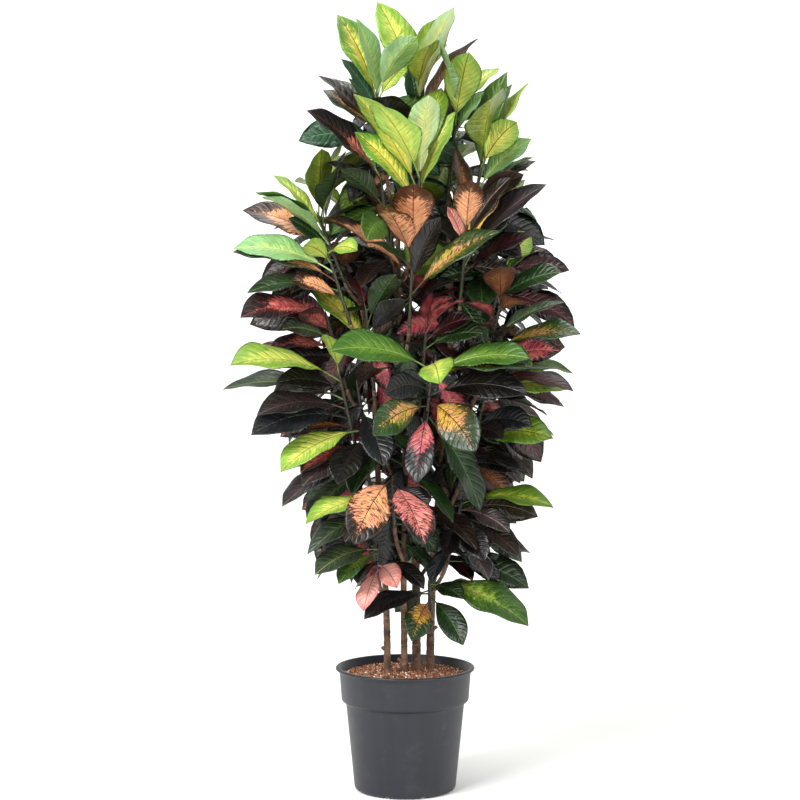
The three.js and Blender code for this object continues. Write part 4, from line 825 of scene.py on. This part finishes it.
for name, (_, (low, high)) in TRUNKS.items():
    keep(stem_shell(trunk_curves[name], TRUNK_STEPS, TRUNK_SIDES, low, high), -1, True)
for shoot in shoots:
    keep(stem_shell(shoot.branch, TWIG_STEPS, TWIG_SIDES, TWIG_RADIUS, SHOOT_RADIUS), -1, True)
    bud = BUD_LENGTH + STEM_KEEP_OUT
    keep(stem_shell(shoot.line, 1, SHOOT_SIDES, SHOOT_RADIUS, SHOOT_TIP_RADIUS, bud), shoot.order, True)
for shoot in shoots:
    for i, (x, z, reach, shown, coloring) in enumerate(shoot.leaves):
        rank = i / (len(shoot.leaves) - 1) if len(shoot.leaves) > 1 else 1
        leaf, stations = place_seen_leaf(stem_point(shoot, rank), x, z, reach, shown, shoot)
        if leaf:
            keep(leaf_shell(leaf, stations), shoot.order, False)
            leaf.coloring = coloring
            shoot.grown.append(leaf)
for shoot in shoots:
    for i in range(shoot.spare):
        leaf = place_spare_leaf(shoot, i, SPARE_SEED * shoot.order + SPARE_SEED_STEP * i)
        if leaf:
            keep(leaf_shell(leaf, SPARE_BLADE_STATIONS), shoot.order, False)
            leaf.coloring = None
            shoot.grown.append(leaf)

# Inner leaves: smaller shaded leaves that hang from the older wood and from the lower stems, and close the
# crown.
INNER_LENGTH, INNER_LENGTH_SCATTER, INNER_REACH, INNER_WIDTH_SHARE, INNER_FOOT = 138, 30, 170, 0.42, 545
TRUNK_LEAVES, TWIG_LEAVES, FRONTWARD_ROLL = 66, 32, 0.9
TRUNK_LEAFY, BRANCH_LEAFY, TWIG_SPLIT, INNER_SCATTER = (0.3, 0.97), 0.25, 0.48, 0.3
TRUNK_SLOPE, TWIG_SLOPE, TWIG_SLOPE_RISE = -0.75, 1.05, 0.65
TRUNK_TURN, TWIG_TURN, BACKWARD_SPREAD = 1.3, 2.4, 2.1
TRUNK_SEED, TRUNK_SEED_STEP, TWIG_SEED, TWIG_SEED_STEP = 2000, 97, 900, 37
INNER_TRIES = [
    (turn, lift, roll) for lift in (0, 0.4, -0.4) for turn in (0, 0.5, -0.5, 1) for roll in (0, 0.6, -0.6)
]
INNER_STATIONS, INNER_LOWEST, INNER_FOREMOST = np.array([0.2, 0.38, 0.6, 0.8]), 380, -45


def as_tree(facets):
    """Triangles as a tree that is quick to test against another."""
    corners = np.arange(3 * len(facets)).reshape(-1, 3)
    return BVHTree.FromPolygons(facets.reshape(-1, 3).tolist(), corners.tolist())


def place_inner_leaf(middle, bearing, slope, seed):
    """A hanging leaf rooted at a point of a stem, turned step by step until its blade is clear, behind the
    leaves in front and above the bare foot. It is left out if it finds no such place."""
    reach = INNER_LENGTH + INNER_LENGTH_SCATTER * scatter(seed)
    around = ((kept_low <= middle + INNER_REACH) & (kept_high >= middle - INNER_REACH)).all(-1)
    barrier = as_tree(kept_facets[around])
    for turn, lift, roll in INNER_TRIES:
        heading, pitch = bearing + turn, slope + lift + INNER_SCATTER * scatter(seed + 1)
        level = np.array([math.cos(heading), math.sin(heading), 0])
        tip = middle + reach * (level * math.cos(pitch) + np.array([0, 0, math.sin(pitch)]))
        roll += FRONTWARD_ROLL * math.cos(heading) + INNER_SCATTER * scatter(seed + 2)
        leaf = lay_leaf(middle + level * ROOT_OFFSET, tip, INNER_WIDTH_SHARE * reach, roll)
        blade = blade_facets(leaf, INNER_STATIONS)
        foremost, lowest = blade.min((0, 1))[1:]
        is_hidden = lowest > INNER_LOWEST and foremost > min(INNER_FOREMOST, middle[1])
        if is_hidden and not as_tree(blade).overlap(barrier):
            keep(leaf_shell(leaf, SPARE_BLADE_STATIONS), -1, False)
            leaf.coloring = None
            return leaf
    return None


inner_leaves = {name: [] for name in TRUNKS}
for order, (name, curve) in enumerate(trunk_curves.items()):
    for i, t in enumerate(np.linspace(*TRUNK_LEAFY, TRUNK_LEAVES)):
        middle = curve(np.array([t]))[0]
        bearing, seed = GOLDEN_ANGLE * i + TRUNK_TURN * order, TRUNK_SEED + TRUNK_SEED_STEP * order + i
        if middle[2] > INNER_FOOT:
            inner_leaves[name].append(place_inner_leaf(middle, bearing, TRUNK_SLOPE, seed))
for shoot in shoots:
    for i in range(TWIG_LEAVES):
        rank = i / (TWIG_LEAVES - 1)
        curve, t = shoot.line, 1.7 * (rank - TWIG_SPLIT)
        if rank < TWIG_SPLIT:
            curve, t = shoot.branch, BRANCH_LEAFY + 1.5 * rank
        bearing = GOLDEN_ANGLE * i + TWIG_TURN * shoot.order
        if shoot.leaves:
            bearing = math.pi / 2 + BACKWARD_SPREAD * math.sin(bearing)
        middle = curve(np.array([t]))[0]
        slope, seed = TWIG_SLOPE_RISE * rank - TWIG_SLOPE, TWIG_SEED + TWIG_SEED_STEP * shoot.order + i
        inner_leaves[shoot.trunk].append(place_inner_leaf(middle, bearing, slope, seed))
inner_leaves = {name: [leaf for leaf in leaves if leaf] for name, leaves in inner_leaves.items()}


# Leaf look: thick leathery blades, each coloured by its age. A young blade is lime or green along yellow
# veins; an old one is nearly black, round a patch of gold, salmon or crimson that runs out along its side
# veins. Each colouring: blade, patch, midrib and underside, then how far up the blade the patch reaches, how
# much of its width it takes, how many dashes of blade colour lie in it, how many flecks of patch colour lie
# round it, and how far its colour spreads softly beyond its edge.
COLORINGS = {
    "lime": ("#7A9E38", "#C4CA5C", "#4C6A20", "#8CAE52", 0.85, 0.5, 0.35, 0.6, 0.6),
    "green": ("#36581E", "#5C7A2C", "#728F3C", "#507834", 0.8, 0.35, 0.3, 0.6, 0.5),
    # mint is partly the light green of a young blade and partly painted highlight: a whitish sheen mixed into
    # its colours.
    "mint": ("#6E9A5E", "#98B062", "#B0C484", "#86A676", 0.8, 0.3, 0.3, 0.3, 0.5),
    # pale is partly the very light green of a young blade and partly painted light: a glossy highlight and
    # light shining through the thin blade, mixed into its colours.
    "pale": ("#A6C874", "#DCDE82", "#DCE2A6", "#B8D49C", 0.9, 0.55, 0.15, 0.3, 0.6),
    "sunny": ("#55852A", "#D4CC5A", "#38400F", "#8AA648", 0.82, 0.48, 0.5, 0.8, 0.7),
    "olive": ("#4C6A18", "#94A032", "#3A4410", "#5E702A", 0.95, 0.2, 0.1, 0.6, 0.5),
    "moss": ("#2A4718", "#7C9A32", "#5E7430", "#4A5E30", 0.55, 0.45, 0.6, 1.0, 0.3),
    "teal": ("#1C3E26", "#2C5034", "#56795A", "#38563E", 0.7, 0.3, 0.0, 0.1, 0.1),
    "deep": ("#14280C", "#22401C", "#46602E", "#28341E", 0.7, 0.25, 0.0, 0.3, 0.1),
    "black": ("#0C0A0A", "#161110", "#261E19", "#171312", 0.6, 0.3, 0.0, 0.0, 0.1),
    "charcoal": ("#14181A", "#1C2020", "#322C26", "#1E1C1B", 0.6, 0.3, 0.0, 0.0, 0.1),
    "umber": ("#170E08", "#26180F", "#4E3626", "#281A12", 0.8, 0.3, 0.0, 0.0, 0.4),
    "bronze": ("#2C180A", "#8A5632", "#3A2012", "#4A2A1A", 0.7, 0.4, 0.4, 0.3, 0.4),
    "maroon": ("#170A09", "#40161A", "#66302F", "#301312", 0.8, 0.55, 0.4, 0.3, 0.5),
    "mauve": ("#221E1F", "#3C2F30", "#6C5855", "#3A3030", 0.9, 0.5, 0.1, 0.1, 0.4),
    "sage": ("#2C382A", "#4A5834", "#7E8A5C", "#4C5A42", 0.7, 0.35, 0.1, 0.4, 0.4),
    "gold": ("#1E3C16", "#C6AC40", "#20200F", "#46542A", 0.62, 0.55, 0.8, 1.0, 0.1),
    "ginger": ("#1B3218", "#D0A045", "#14130C", "#444426", 0.58, 0.85, 0.9, 1.0, 0.1),
    "amber": ("#1B2E1A", "#D2985C", "#57291A", "#403E28", 0.7, 0.5, 0.6, 0.8, 0.1),
    "ember": ("#2A170A", "#DC9C70", "#2A110B", "#3E2416", 0.72, 0.9, 0.4, 0.4, 0.2),
    "flame": ("#8E5426", "#DDB44E", "#6A3518", "#986238", 0.9, 0.85, 0.35, 0.3, 0.8),
    "crimson": ("#190A0B", "#9E3442", "#BE6068", "#42181C", 0.9, 0.8, 0.6, 0.5, 0.1),
    "wine": ("#0F0E0F", "#BC5460", "#110D0F", "#2A181B", 0.55, 1.1, 0.8, 0.5, 0.1),
    "coral": ("#150D0E", "#B4504E", "#7A2E3A", "#3A2022", 0.62, 0.8, 0.75, 0.8, 0.1),
    "dusk": ("#141213", "#CC7C64", "#5A2A26", "#3A2A28", 0.42, 0.8, 0.5, 0.6, 0.1),
    "rose": ("#110F0F", "#D87C74", "#20120F", "#452627", 0.88, 1.05, 0.95, 0.8, 0.1),
    "peach": ("#1C140C", "#E4A476", "#18120C", "#4A2C1A", 0.74, 1.15, 0.75, 0.5, 0.1),
    "pink": ("#C87670", "#E6A092", "#A05660", "#D89690", 0.9, 0.9, 0.2, 0.1, 0.5),
}
# Colourings of the spare leaves, from the youngest at the plant's top to the oldest at its foot. Leaves deep
# inside the plant get little light and are the darkest.
OUTER_COLORINGS = (
    ("lime", "mint", "green", "sunny", "lime", "olive"),
    ("green", "lime", "olive", "ember", "deep", "sunny"),
    ("deep", "green", "gold", "bronze", "coral", "black"),
    ("deep", "charcoal", "crimson", "green", "ginger", "black"),
    ("charcoal", "black", "rose", "sage", "mauve", "deep"),
)
INNER_COLORINGS = (
    "black", "umber", "charcoal", "deep", "maroon", "black", "umber", "crimson", "deep", "bronze",
)
SHADED_GREENS = ("deep", "teal", "olive", "black", "green")
TIER_TOP, TIER_HEIGHT, SHADED_GREEN_ABOVE, SHADED_SHOOT_BELOW = 1330, 190, 1120, 1050
RANK_TIERS, TIER_SCATTER = 1.2, 0.7
VEIN_SLANT, VEIN_CURVE, PATCH_ROUND = 0.14, 0.05, 2.4
EDGE_WAVES, EDGE_WAVE_SHARE, ROLL_WAVES, ROLL_WAVE_SHARE, EDGE_FALL = 2.2, 0.08, 0.9, 0.07, 0.09
SKIN_THICK, KEEL_THICK, KEEL_WIDTH = 0.7, 1.1, 0.09
BLADE_ROWS, SIDE_VEINS, RIB_HALF_WIDTH = 22, 11, 0.9
BLADE_COLUMNS = np.array([-1, -0.85, -0.62, -0.36, -0.11, 0, 0.11, 0.36, 0.62, 0.85, 1])
INNER_BLADE_ROWS, INNER_BLADE_COLUMNS = 9, np.array([-1, -0.5, 0, 0.5, 1])
PETIOLE_STEPS, PETIOLE_SIDES, PETIOLE_UNDERLAP = 6, 7, 0.03


def leaf_blade(leaf, row_count, v, seed):
    """A closed blade: point (u, v) is m(u) + a(u) h(u) v cos f + n(u) lift(u, v), where m is the midrib, a
    the direction across, n the face, h the half width and f the fold. lift rises from the midrib by the fold,
    falls back at the edge, and waves there and along the blade. The underside is the same less the thickness,
    which grows to a keel under the midrib and thins to the edge. One point closes the foot and one the tip.
    Its rings run the other way round than a stem's do, so each face is taken in the opposite order."""
    u = np.linspace(0, 1, row_count + 1)[1:-1] ** 0.92
    at, across, face, half = sections(leaf, u)
    half = half * (1 - 0.3 * np.clip((u - 0.86) / 0.12, 0, 1))
    ends = np.minimum(1, np.minimum(u, 1 - u) * 6)[:, None]
    rise = math.sin(BLADE_FOLD) * (np.sqrt(v * v + 0.01) - 0.1) - EDGE_FALL * v ** 4
    edge_turn = 2 * np.pi * (EDGE_WAVES * u[:, None] + scatter(seed)) + 1.6 * np.sign(v)
    edge_wave = np.sin(edge_turn) * np.abs(v) ** 2.5
    roll_turn = 2 * np.pi * (ROLL_WAVES * u[:, None] + scatter(seed + 0.5)) + 2.0 * v
    roll_wave = np.sin(roll_turn) * np.abs(v)
    lift = half[:, None] * (rise + (EDGE_WAVE_SHARE * edge_wave + ROLL_WAVE_SHARE * roll_wave) * ends)
    keel = KEEL_THICK * np.exp(-(v / KEEL_WIDTH) ** 2) * (1 - 0.7 * u[:, None])
    thick = (SKIN_THICK * (1 - 0.7 * v ** 2) + keel) * (0.4 + 0.6 * ends)
    level = at[:, None] + across[:, None] * (half[:, None] * v * math.cos(BLADE_FOLD))[..., None]
    upper = level + face[:, None] * (lift + BLADE_THICKNESS / 3)[..., None]
    under = (level + face[:, None] * (lift + BLADE_THICKNESS / 3 - thick)[..., None])[:, -2:0:-1]
    points = np.concatenate([upper, under], 1)
    rows, ring = points.shape[:2]
    faces = [[face[0], *face[:0:-1]] for face in closed_faces(rows, ring)]
    foot = leaf.midrib(np.array([PETIOLE_SHARE]))
    shape = np.concatenate([points.reshape(-1, 3), foot, leaf.tip[None]]), faces
    u_all = np.append(np.repeat(u, ring), [0, 1])
    v_all = np.append(np.tile(np.concatenate([v, v[-2:0:-1]]), rows), [0, 0])
    half_all = np.append(np.repeat(half, ring), [1, 1])
    is_under = np.append(np.tile(np.arange(ring) >= len(v), rows), [False, False])
    return shape, u_all, v_all, half_all, is_under


def leaf_petiole(leaf):
    """A leaf's round petiole, from inside its stem to a little way into its blade, and thinner there."""
    reach = PETIOLE_SHARE + PETIOLE_UNDERLAP
    return tube(lambda t: leaf.midrib(t * reach), PETIOLE_STEPS, PETIOLE_SIDES,
                lambda t, turn: PETIOLE_RADIUS * (1.15 - 0.35 * t) + 0 * turn)


def tinted(code, seed):
    """A colour a little lighter or darker, and a little warmer or cooler, from leaf to leaf."""
    light, warm = 1 + 0.16 * scatter(seed + 0.3), 0.05 * scatter(seed + 0.7)
    return np.array(hex_color(code)) * (light * (1 + warm), light, light * (1 - warm), 1)


def coloring_of(leaf, is_inside, rank, seed):
    """A spare leaf's colouring, by its height, its place on the shoot, and chance."""
    if is_inside:
        choices = SHADED_GREENS if leaf.root[2] > SHADED_GREEN_ABOVE else INNER_COLORINGS
    else:
        tier = (TIER_TOP - leaf.root[2]) / TIER_HEIGHT + RANK_TIERS * (1 - rank) - RANK_TIERS / 2
        tier += TIER_SCATTER * scatter(seed + 0.2)
        choices = OUTER_COLORINGS[int(np.clip(tier, 0, len(OUTER_COLORINGS) - 1))]
    return choices[int(abs(scatter(seed + 0.4)) * len(choices))]


# Croton blade: a thick waxy leaf. The wax gives broad soft highlights, the side veins are sunk so that the
# blade is quilted between them, and the patch has a ragged edge like a comb along the veins.
waxy_blade, tree, where = new_material("waxy_croton_blade")
blade_color, patch_color, rib_color = (
    add_node(tree, "Attribute", attribute_name=name).outputs["Color"]
    for name in ("blade_color", "patch_color", "rib_color")
)
place = add_node(tree, "Attribute", attribute_name="vein_place").outputs["Vector"]
patch_traits = add_node(tree, "Attribute", attribute_name="patch_traits").outputs
split_place = add_node(tree, "SeparateXYZ", {"Vector": place})
split_traits = add_node(tree, "SeparateXYZ", {"Vector": patch_traits["Vector"]})
from_rib = add_node(tree, "Math", {0: split_place.outputs[1]}, operation="ABSOLUTE")

# Noises drawn out along the side veins: how fine each is along the blade, across it and from leaf to leaf,
# its detail and its roughness.
vein_noises = {}
for name, fineness, detail, roughness in (
    ("comb", (3.6, 0.1, 7), 3.0, 0.65),
    ("dashes", (6.2, 0.1, 7), 2.0, 0.6),
    ("flecks", (5.5, 0.5, 7), 2.0, 0.6),
    ("blush", (0.35, 0.05, 7), 1.0, 0.5),
    ("mottle", (0.8, 0.09, 7), 4.0, 0.5),
):
    drawn_out = add_node(tree, "Mapping", {"Vector": place, "Scale": fineness})
    noise = {"Vector": drawn_out, "Scale": 1.0, "Detail": detail, "Roughness": roughness}
    vein_noises[name] = add_node(tree, "TexNoise", noise)

# The patch: its margin is the edge's distance in half widths, made ragged along the veins.
ragged = add_node(tree, "MapRange", {0: vein_noises["comb"], 1: 0.25, 2: 0.75, 3: -0.5, 4: 0.5})
margin = add_node(tree, "Math", {0: split_traits.outputs[0], 1: ragged}, operation="ADD")
in_patch = add_node(tree, "MapRange", {0: margin, 1: -0.05, 2: 0.06}, **SOFT)

# Dashes of blade colour in the patch, along the side veins, and flecks of patch colour beyond its edge.
dash_level = add_node(tree, "Math", {0: split_traits.outputs[1], 1: 0.17, 2: -0.67}, operation="MULTIPLY_ADD")
dash_height = add_node(tree, "Math", {0: vein_noises["dashes"], 1: dash_level}, operation="ADD")
dashed = add_node(tree, "MapRange", {0: dash_height, 1: 0.0, 2: 0.035}, **SOFT)
fleck_level = add_node(
    tree, "Math", {0: split_traits.outputs[2], 1: 0.14, 2: -0.76}, operation="MULTIPLY_ADD")
fleck_height = add_node(tree, "Math", {0: vein_noises["flecks"], 1: fleck_level}, operation="ADD")
flecked = add_node(tree, "MapRange", {0: fleck_height, 1: 0.0, 2: 0.02}, **SOFT)
near_patch = add_node(tree, "MapRange", {0: margin, 1: -0.7, 2: -0.2}, **SOFT)
fleck_share = add_node(tree, "Math", {0: flecked, 1: near_patch}, operation="MULTIPLY")
patch_share = add_node(tree, "Math", {0: in_patch, 1: dashed}, operation="SUBTRACT", use_clamp=True)
sharp_patch = add_node(tree, "Math", {0: patch_share, 1: fleck_share}, operation="MAXIMUM")

# A halo: the patch's colour spreads softly into a young blade. The patch of an old one blushes salmon in
# places.
halo = add_node(tree, "MapRange", {0: margin, 1: -0.55, 2: 0.35}, **SOFT)
halo_share = add_node(tree, "Math", {0: halo, 1: patch_traits["Alpha"]}, operation="MULTIPLY")
shown_patch = add_node(tree, "Math", {0: sharp_patch, 1: halo_share}, operation="MAXIMUM")
blushed = add_node(tree, "MapRange", {0: vein_noises["blush"], 1: 0.42, 2: 0.58, 4: 0.7}, **SOFT)
is_old = add_node(tree, "MapRange", {0: patch_traits["Alpha"], 1: 0.4, 2: 0.1})
old_blush = add_node(tree, "Math", {0: blushed, 1: is_old}, operation="MULTIPLY")
blush_share = add_node(tree, "Math", {0: old_blush, 1: split_traits.outputs[1]}, operation="MULTIPLY")
patch_tone = add_node(
    tree, "Mix", {0: blush_share, 6: patch_color, 7: hex_color("#D4806C")}, data_type="RGBA")

# Side veins run out from the midrib, one at each whole step of the place's first number.
vein_step = add_node(tree, "Math", {0: split_place.outputs[0]}, operation="FRACT")
vein_offset = add_node(tree, "Math", {0: vein_step, 1: 0.5}, operation="SUBTRACT")
vein_side = add_node(tree, "Math", {0: vein_offset}, operation="ABSOLUTE")
vein_share = add_node(tree, "MapRange", {0: vein_side, 1: 0.5, 2: 0.45, 3: 0.35, 4: 0.0}, **SOFT)
on_rib = add_node(tree, "MapRange", {0: from_rib, 1: RIB_HALF_WIDTH, 2: 0.6 * RIB_HALF_WIDTH}, **SOFT)
blotch = add_node(tree, "MapRange", {0: vein_noises["mottle"], 1: 0.25, 2: 0.75, 3: 0.78, 4: 1.22})
patched = add_node(tree, "Mix", {0: shown_patch, 6: blade_color, 7: patch_tone}, data_type="RGBA")
veined = add_node(tree, "Mix", {0: vein_share, 6: patched, 7: rib_color}, data_type="RGBA")
mottled = add_node(tree, "VectorMath", {0: veined.outputs[2], "Scale": blotch}, operation="SCALE")
color = add_node(tree, "Mix", {0: on_rib, 6: mottled, 7: rib_color}, data_type="RGBA")

# Relief: low pillows between the veins, uneven from one to the next, a groove over the midrib and a fine
# leather grain of about half a millimetre.
leather = add_node(tree, "TexNoise", {"Vector": where, "Scale": 900.0, "Detail": 2.0})
quilt = add_node(tree, "MapRange", {0: vein_side, 1: 0.5, 2: 0.2, 3: 0.0, 4: 1.0}, **SOFT)
uneven = add_node(tree, "MapRange", {0: vein_noises["mottle"], 1: 0.35, 2: 0.65, 3: 0.2, 4: 1.0})
pillow = add_node(tree, "Math", {0: quilt, 1: uneven}, operation="MULTIPLY")
groove = add_node(tree, "MapRange", {0: from_rib, 1: 0.0, 2: 2.2, 3: -0.8, 4: 0.0}, **SOFT)
grained = add_node(tree, "Math", {0: leather, 1: 0.12, 2: pillow}, operation="MULTIPLY_ADD")
relief = add_node(tree, "Math", {0: grained, 1: groove}, operation="ADD")
bump = add_node(tree, "Bump", {"Height": relief, "Distance": 0.0012, "Strength": 0.85})
wax = add_node(tree, "MapRange", {0: vein_noises["mottle"], 1: 0.3, 2: 0.7, 3: 0.26, 4: 0.42})
shade = {"Base Color": color, "Roughness": wax, "IOR": 1.48, "Normal": bump}
surface = add_node(tree, "BsdfPrincipled", shade)
add_node(tree, "OutputMaterial", {"Surface": surface})

# Green wood and petioles: smooth soft bark that takes its colour from the leaves that it bears, with fine
# corky specks.
green_bark, tree, where = new_material("green_croton_stem")
stem_color = add_node(tree, "Attribute", attribute_name="blade_color").outputs["Color"]
specks = add_node(tree, "TexNoise", {"Vector": where, "Scale": 420.0, "Detail": 3.0})
speck_share = add_node(tree, "MapRange", {0: specks, 1: 0.6, 2: 0.72, 4: 0.5}, **SOFT)
color = add_node(tree, "Mix", {0: speck_share, 6: stem_color, 7: hex_color("#B9A27C")}, data_type="RGBA")
bump = add_node(tree, "Bump", {"Height": specks, "Distance": 0.0003, "Strength": 0.5})
surface = add_node(tree, "BsdfPrincipled", {"Base Color": color, "Roughness": 0.45, "Normal": bump})
add_node(tree, "OutputMaterial", {"Surface": surface})

STEM_GREEN, STEM_BROWN = "#23270F", "#1E1710"
BROWN_BELOW, GREEN_ABOVE = 600, 1000
STEM_STEPS, STEM_SIDES, STEM_SCAR_GAP = 40, 12, 0.09


def new_foliage(name, leaves, is_inside, order, row_count, columns, stem=None):
    """A piece of leaves on their petioles, with the stem that bears them, and the colours that its materials
    read: each blade's own, and the place of each of its points among the veins."""
    shapes, colors, places, traits, finish_of = [], [], [], [], []
    if stem:
        old = np.clip((GREEN_ABOVE - leaves[0].root[2]) / (GREEN_ABOVE - BROWN_BELOW), 0, 1)
        tint = np.array(hex_color(STEM_GREEN)) * (1 - old) + np.array(hex_color(STEM_BROWN)) * old
        shapes, colors = [stem], [np.tile(tint, (len(stem[0]), 3, 1))]
        places, traits = [np.zeros((len(stem[0]), 3))], [np.zeros((len(stem[0]), 4))]
        finish_of = [np.ones(len(stem[1]), int)]
    for i, leaf in enumerate(leaves):
        seed = 31 * order + i
        look = COLORINGS[leaf.coloring or coloring_of(leaf, is_inside, i / max(1, len(leaves) - 1), seed)]
        blade, patch, rib, under = (tinted(code, seed) for code in look[:4])
        reach, spread, dash, fleck, halo = look[4:]
        petiole = leaf_petiole(leaf)
        shape, u, v, half, is_under = leaf_blade(leaf, row_count, columns, seed)
        shapes += [petiole, shape]
        beyond = u / reach - 1
        edge = spread * np.sqrt(np.clip(1 - (u / reach) ** PATCH_ROUND, 0, 1)) - 0.5 * np.clip(beyond, 0, 1)
        vein_place = SIDE_VEINS * (u - VEIN_SLANT * np.abs(v) - VEIN_CURVE * v * v)
        faces_down = is_under[:, None]
        blade_tint = np.where(faces_down, under, blade)
        patch_tint = np.where(faces_down, 0.8 * patch + 0.15 * under, patch)
        rib_tint = np.tile(rib, (len(u), 1))
        colors += [np.tile((rib + under) / 2, (len(petiole[0]), 3, 1))]
        colors += [np.stack([blade_tint, patch_tint, rib_tint], 1)]
        leaf_number = np.full(len(u), 0.37 * seed)
        places += [np.zeros((len(petiole[0]), 3)), np.stack([vein_place, v * half, leaf_number], -1)]
        leaf_traits = np.stack([edge - np.abs(v), 0 * u + dash, 0 * u + fleck, 0 * u + halo], -1)
        traits += [np.zeros((len(petiole[0]), 4)), leaf_traits]
        finish_of += [np.ones(len(petiole[1]), int), np.zeros(len(shape[1]), int)]
    foliage = new_piece(name, *joined(shapes), waxy_blade, green_bark)
    blades, patches, ribs = np.concatenate(colors).transpose(1, 0, 2)
    four_fold = {"blade_color": blades, "patch_color": patches, "rib_color": ribs}
    four_fold["patch_traits"] = np.concatenate(traits)
    for key, values in four_fold.items():
        foliage.data.attributes.new(key, "FLOAT_COLOR", "POINT").data.foreach_set("color", values.ravel())
    layer = foliage.data.attributes.new("vein_place", "FLOAT_VECTOR", "POINT")
    layer.data.foreach_set("vector", np.concatenate(places).ravel())
    foliage.data.polygons.foreach_set("material_index", np.concatenate(finish_of))
    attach(foliage, "root")
    return foliage


for shoot in shoots:
    bark_of_stem = bark_radius(SHOOT_RADIUS, SHOOT_TIP_RADIUS, STEM_SCAR_GAP, shoot.order)
    stem = tube(shoot.line, STEM_STEPS, STEM_SIDES, bark_of_stem, BUD_LENGTH - 2)
    is_shaded = len(shoot.leaves) > 0 and shoot.top[2] < SHADED_SHOOT_BELOW
    is_inside = shoot.name.startswith("inner") or is_shaded
    foliage = new_foliage(
        "leaves_" + shoot.name, shoot.grown, is_inside, shoot.order, BLADE_ROWS, BLADE_COLUMNS, stem)
    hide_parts("shoot_" + shoot.name)
for order, (name, leaves) in enumerate(inner_leaves.items()):
    new_foliage("inner_leaves_" + name, leaves, True, 70 + 10 * order, INNER_BLADE_ROWS, INNER_BLADE_COLUMNS)


# Room: a round floor of white paper that curves up into a low wall on every side. It glows a little, and more
# towards its edge, so that it stays white round the plant. Broad lamps stand high on the left, in front and
# above. The camera is at the photograph's height and distance, about level with the middle of the foliage.
ROOM_RADIUS, ROOM_HEIGHT, ROOM_BEND, PAPER_THICKNESS = 9000, 4000, 1500, 40
room_edge = ROOM_RADIUS + PAPER_THICKNESS
room_profile = [(0, -PAPER_THICKNESS), (room_edge, -PAPER_THICKNESS)]
room_profile += [(room_edge, ROOM_HEIGHT), (ROOM_RADIUS, ROOM_HEIGHT)]
for angle in np.linspace(0, np.pi / 2, 17):
    inward, up = ROOM_BEND * (1 - math.cos(angle)), ROOM_BEND * (1 - math.sin(angle))
    room_profile += [(ROOM_RADIUS - inward, up)]
room_profile += [(0, 0)]
paper, tree, where = new_material("matt_white_paper")
reach = add_node(tree, "VectorMath", {0: where}, operation="LENGTH").outputs["Value"]
glow = add_node(tree, "MapRange", {0: reach, 1: 0.3, 2: 3.2, 3: 0.12, 4: 0.6}, **SOFT)
white = hex_color("#F4F4F2")
shade = {"Base Color": white, "Roughness": 0.9, "Emission Color": white, "Emission Strength": glow}
surface = add_node(tree, "BsdfPrincipled", shade)
add_node(tree, "OutputMaterial", {"Surface": surface})
new_piece("paper_room", *turned(room_profile, 96), paper)

world = bpy.data.worlds.new("studio")
bpy.context.scene.world = world
world.use_nodes = True
world.node_tree.nodes.clear()
sky = add_node(world.node_tree, "Background", {"Color": hex_color("#F6F6F5"), "Strength": 0.38})
add_node(world.node_tree, "OutputWorld", {"Surface": sky})

LAMPS = [
    ("key_softbox", (-1.8, -2.2, 3.0), 1.9, 190, (0, 0, 0.85)),
    ("front_softbox", (1.9, -2.8, 1.6), 1.5, 36, (0, 0, 0.7)),
    ("top_softbox", (0.3, 0.8, 3.4), 1.6, 50, (0, 0, 0.9)),
]
for name, spot, side, watts, target in LAMPS:
    lamp = bpy.data.lights.new(name, "AREA")
    lamp.shape, lamp.size, lamp.energy = "SQUARE", side, watts
    softbox = bpy.data.objects.new(name, lamp)
    softbox.location = spot
    softbox.rotation_euler = (Vector(target) - Vector(spot)).to_track_quat("-Z", "Y").to_euler()
    bpy.context.scene.collection.objects.link(softbox)

EYE, AIM = Vector((0, -4.06, 1.0)), Vector((-0.010, 0, 0.7585))
lens = bpy.data.cameras.new("camera")
lens.lens, lens.sensor_width = 94.8, 36
camera = bpy.data.objects.new("camera", lens)
camera.location = EYE
camera.rotation_euler = (AIM - EYE).to_track_quat("-Z", "Y").to_euler()
bpy.context.scene.collection.objects.link(camera)
bpy.context.scene.camera = camera
bpy.context.scene.view_settings.view_transform = "Standard"
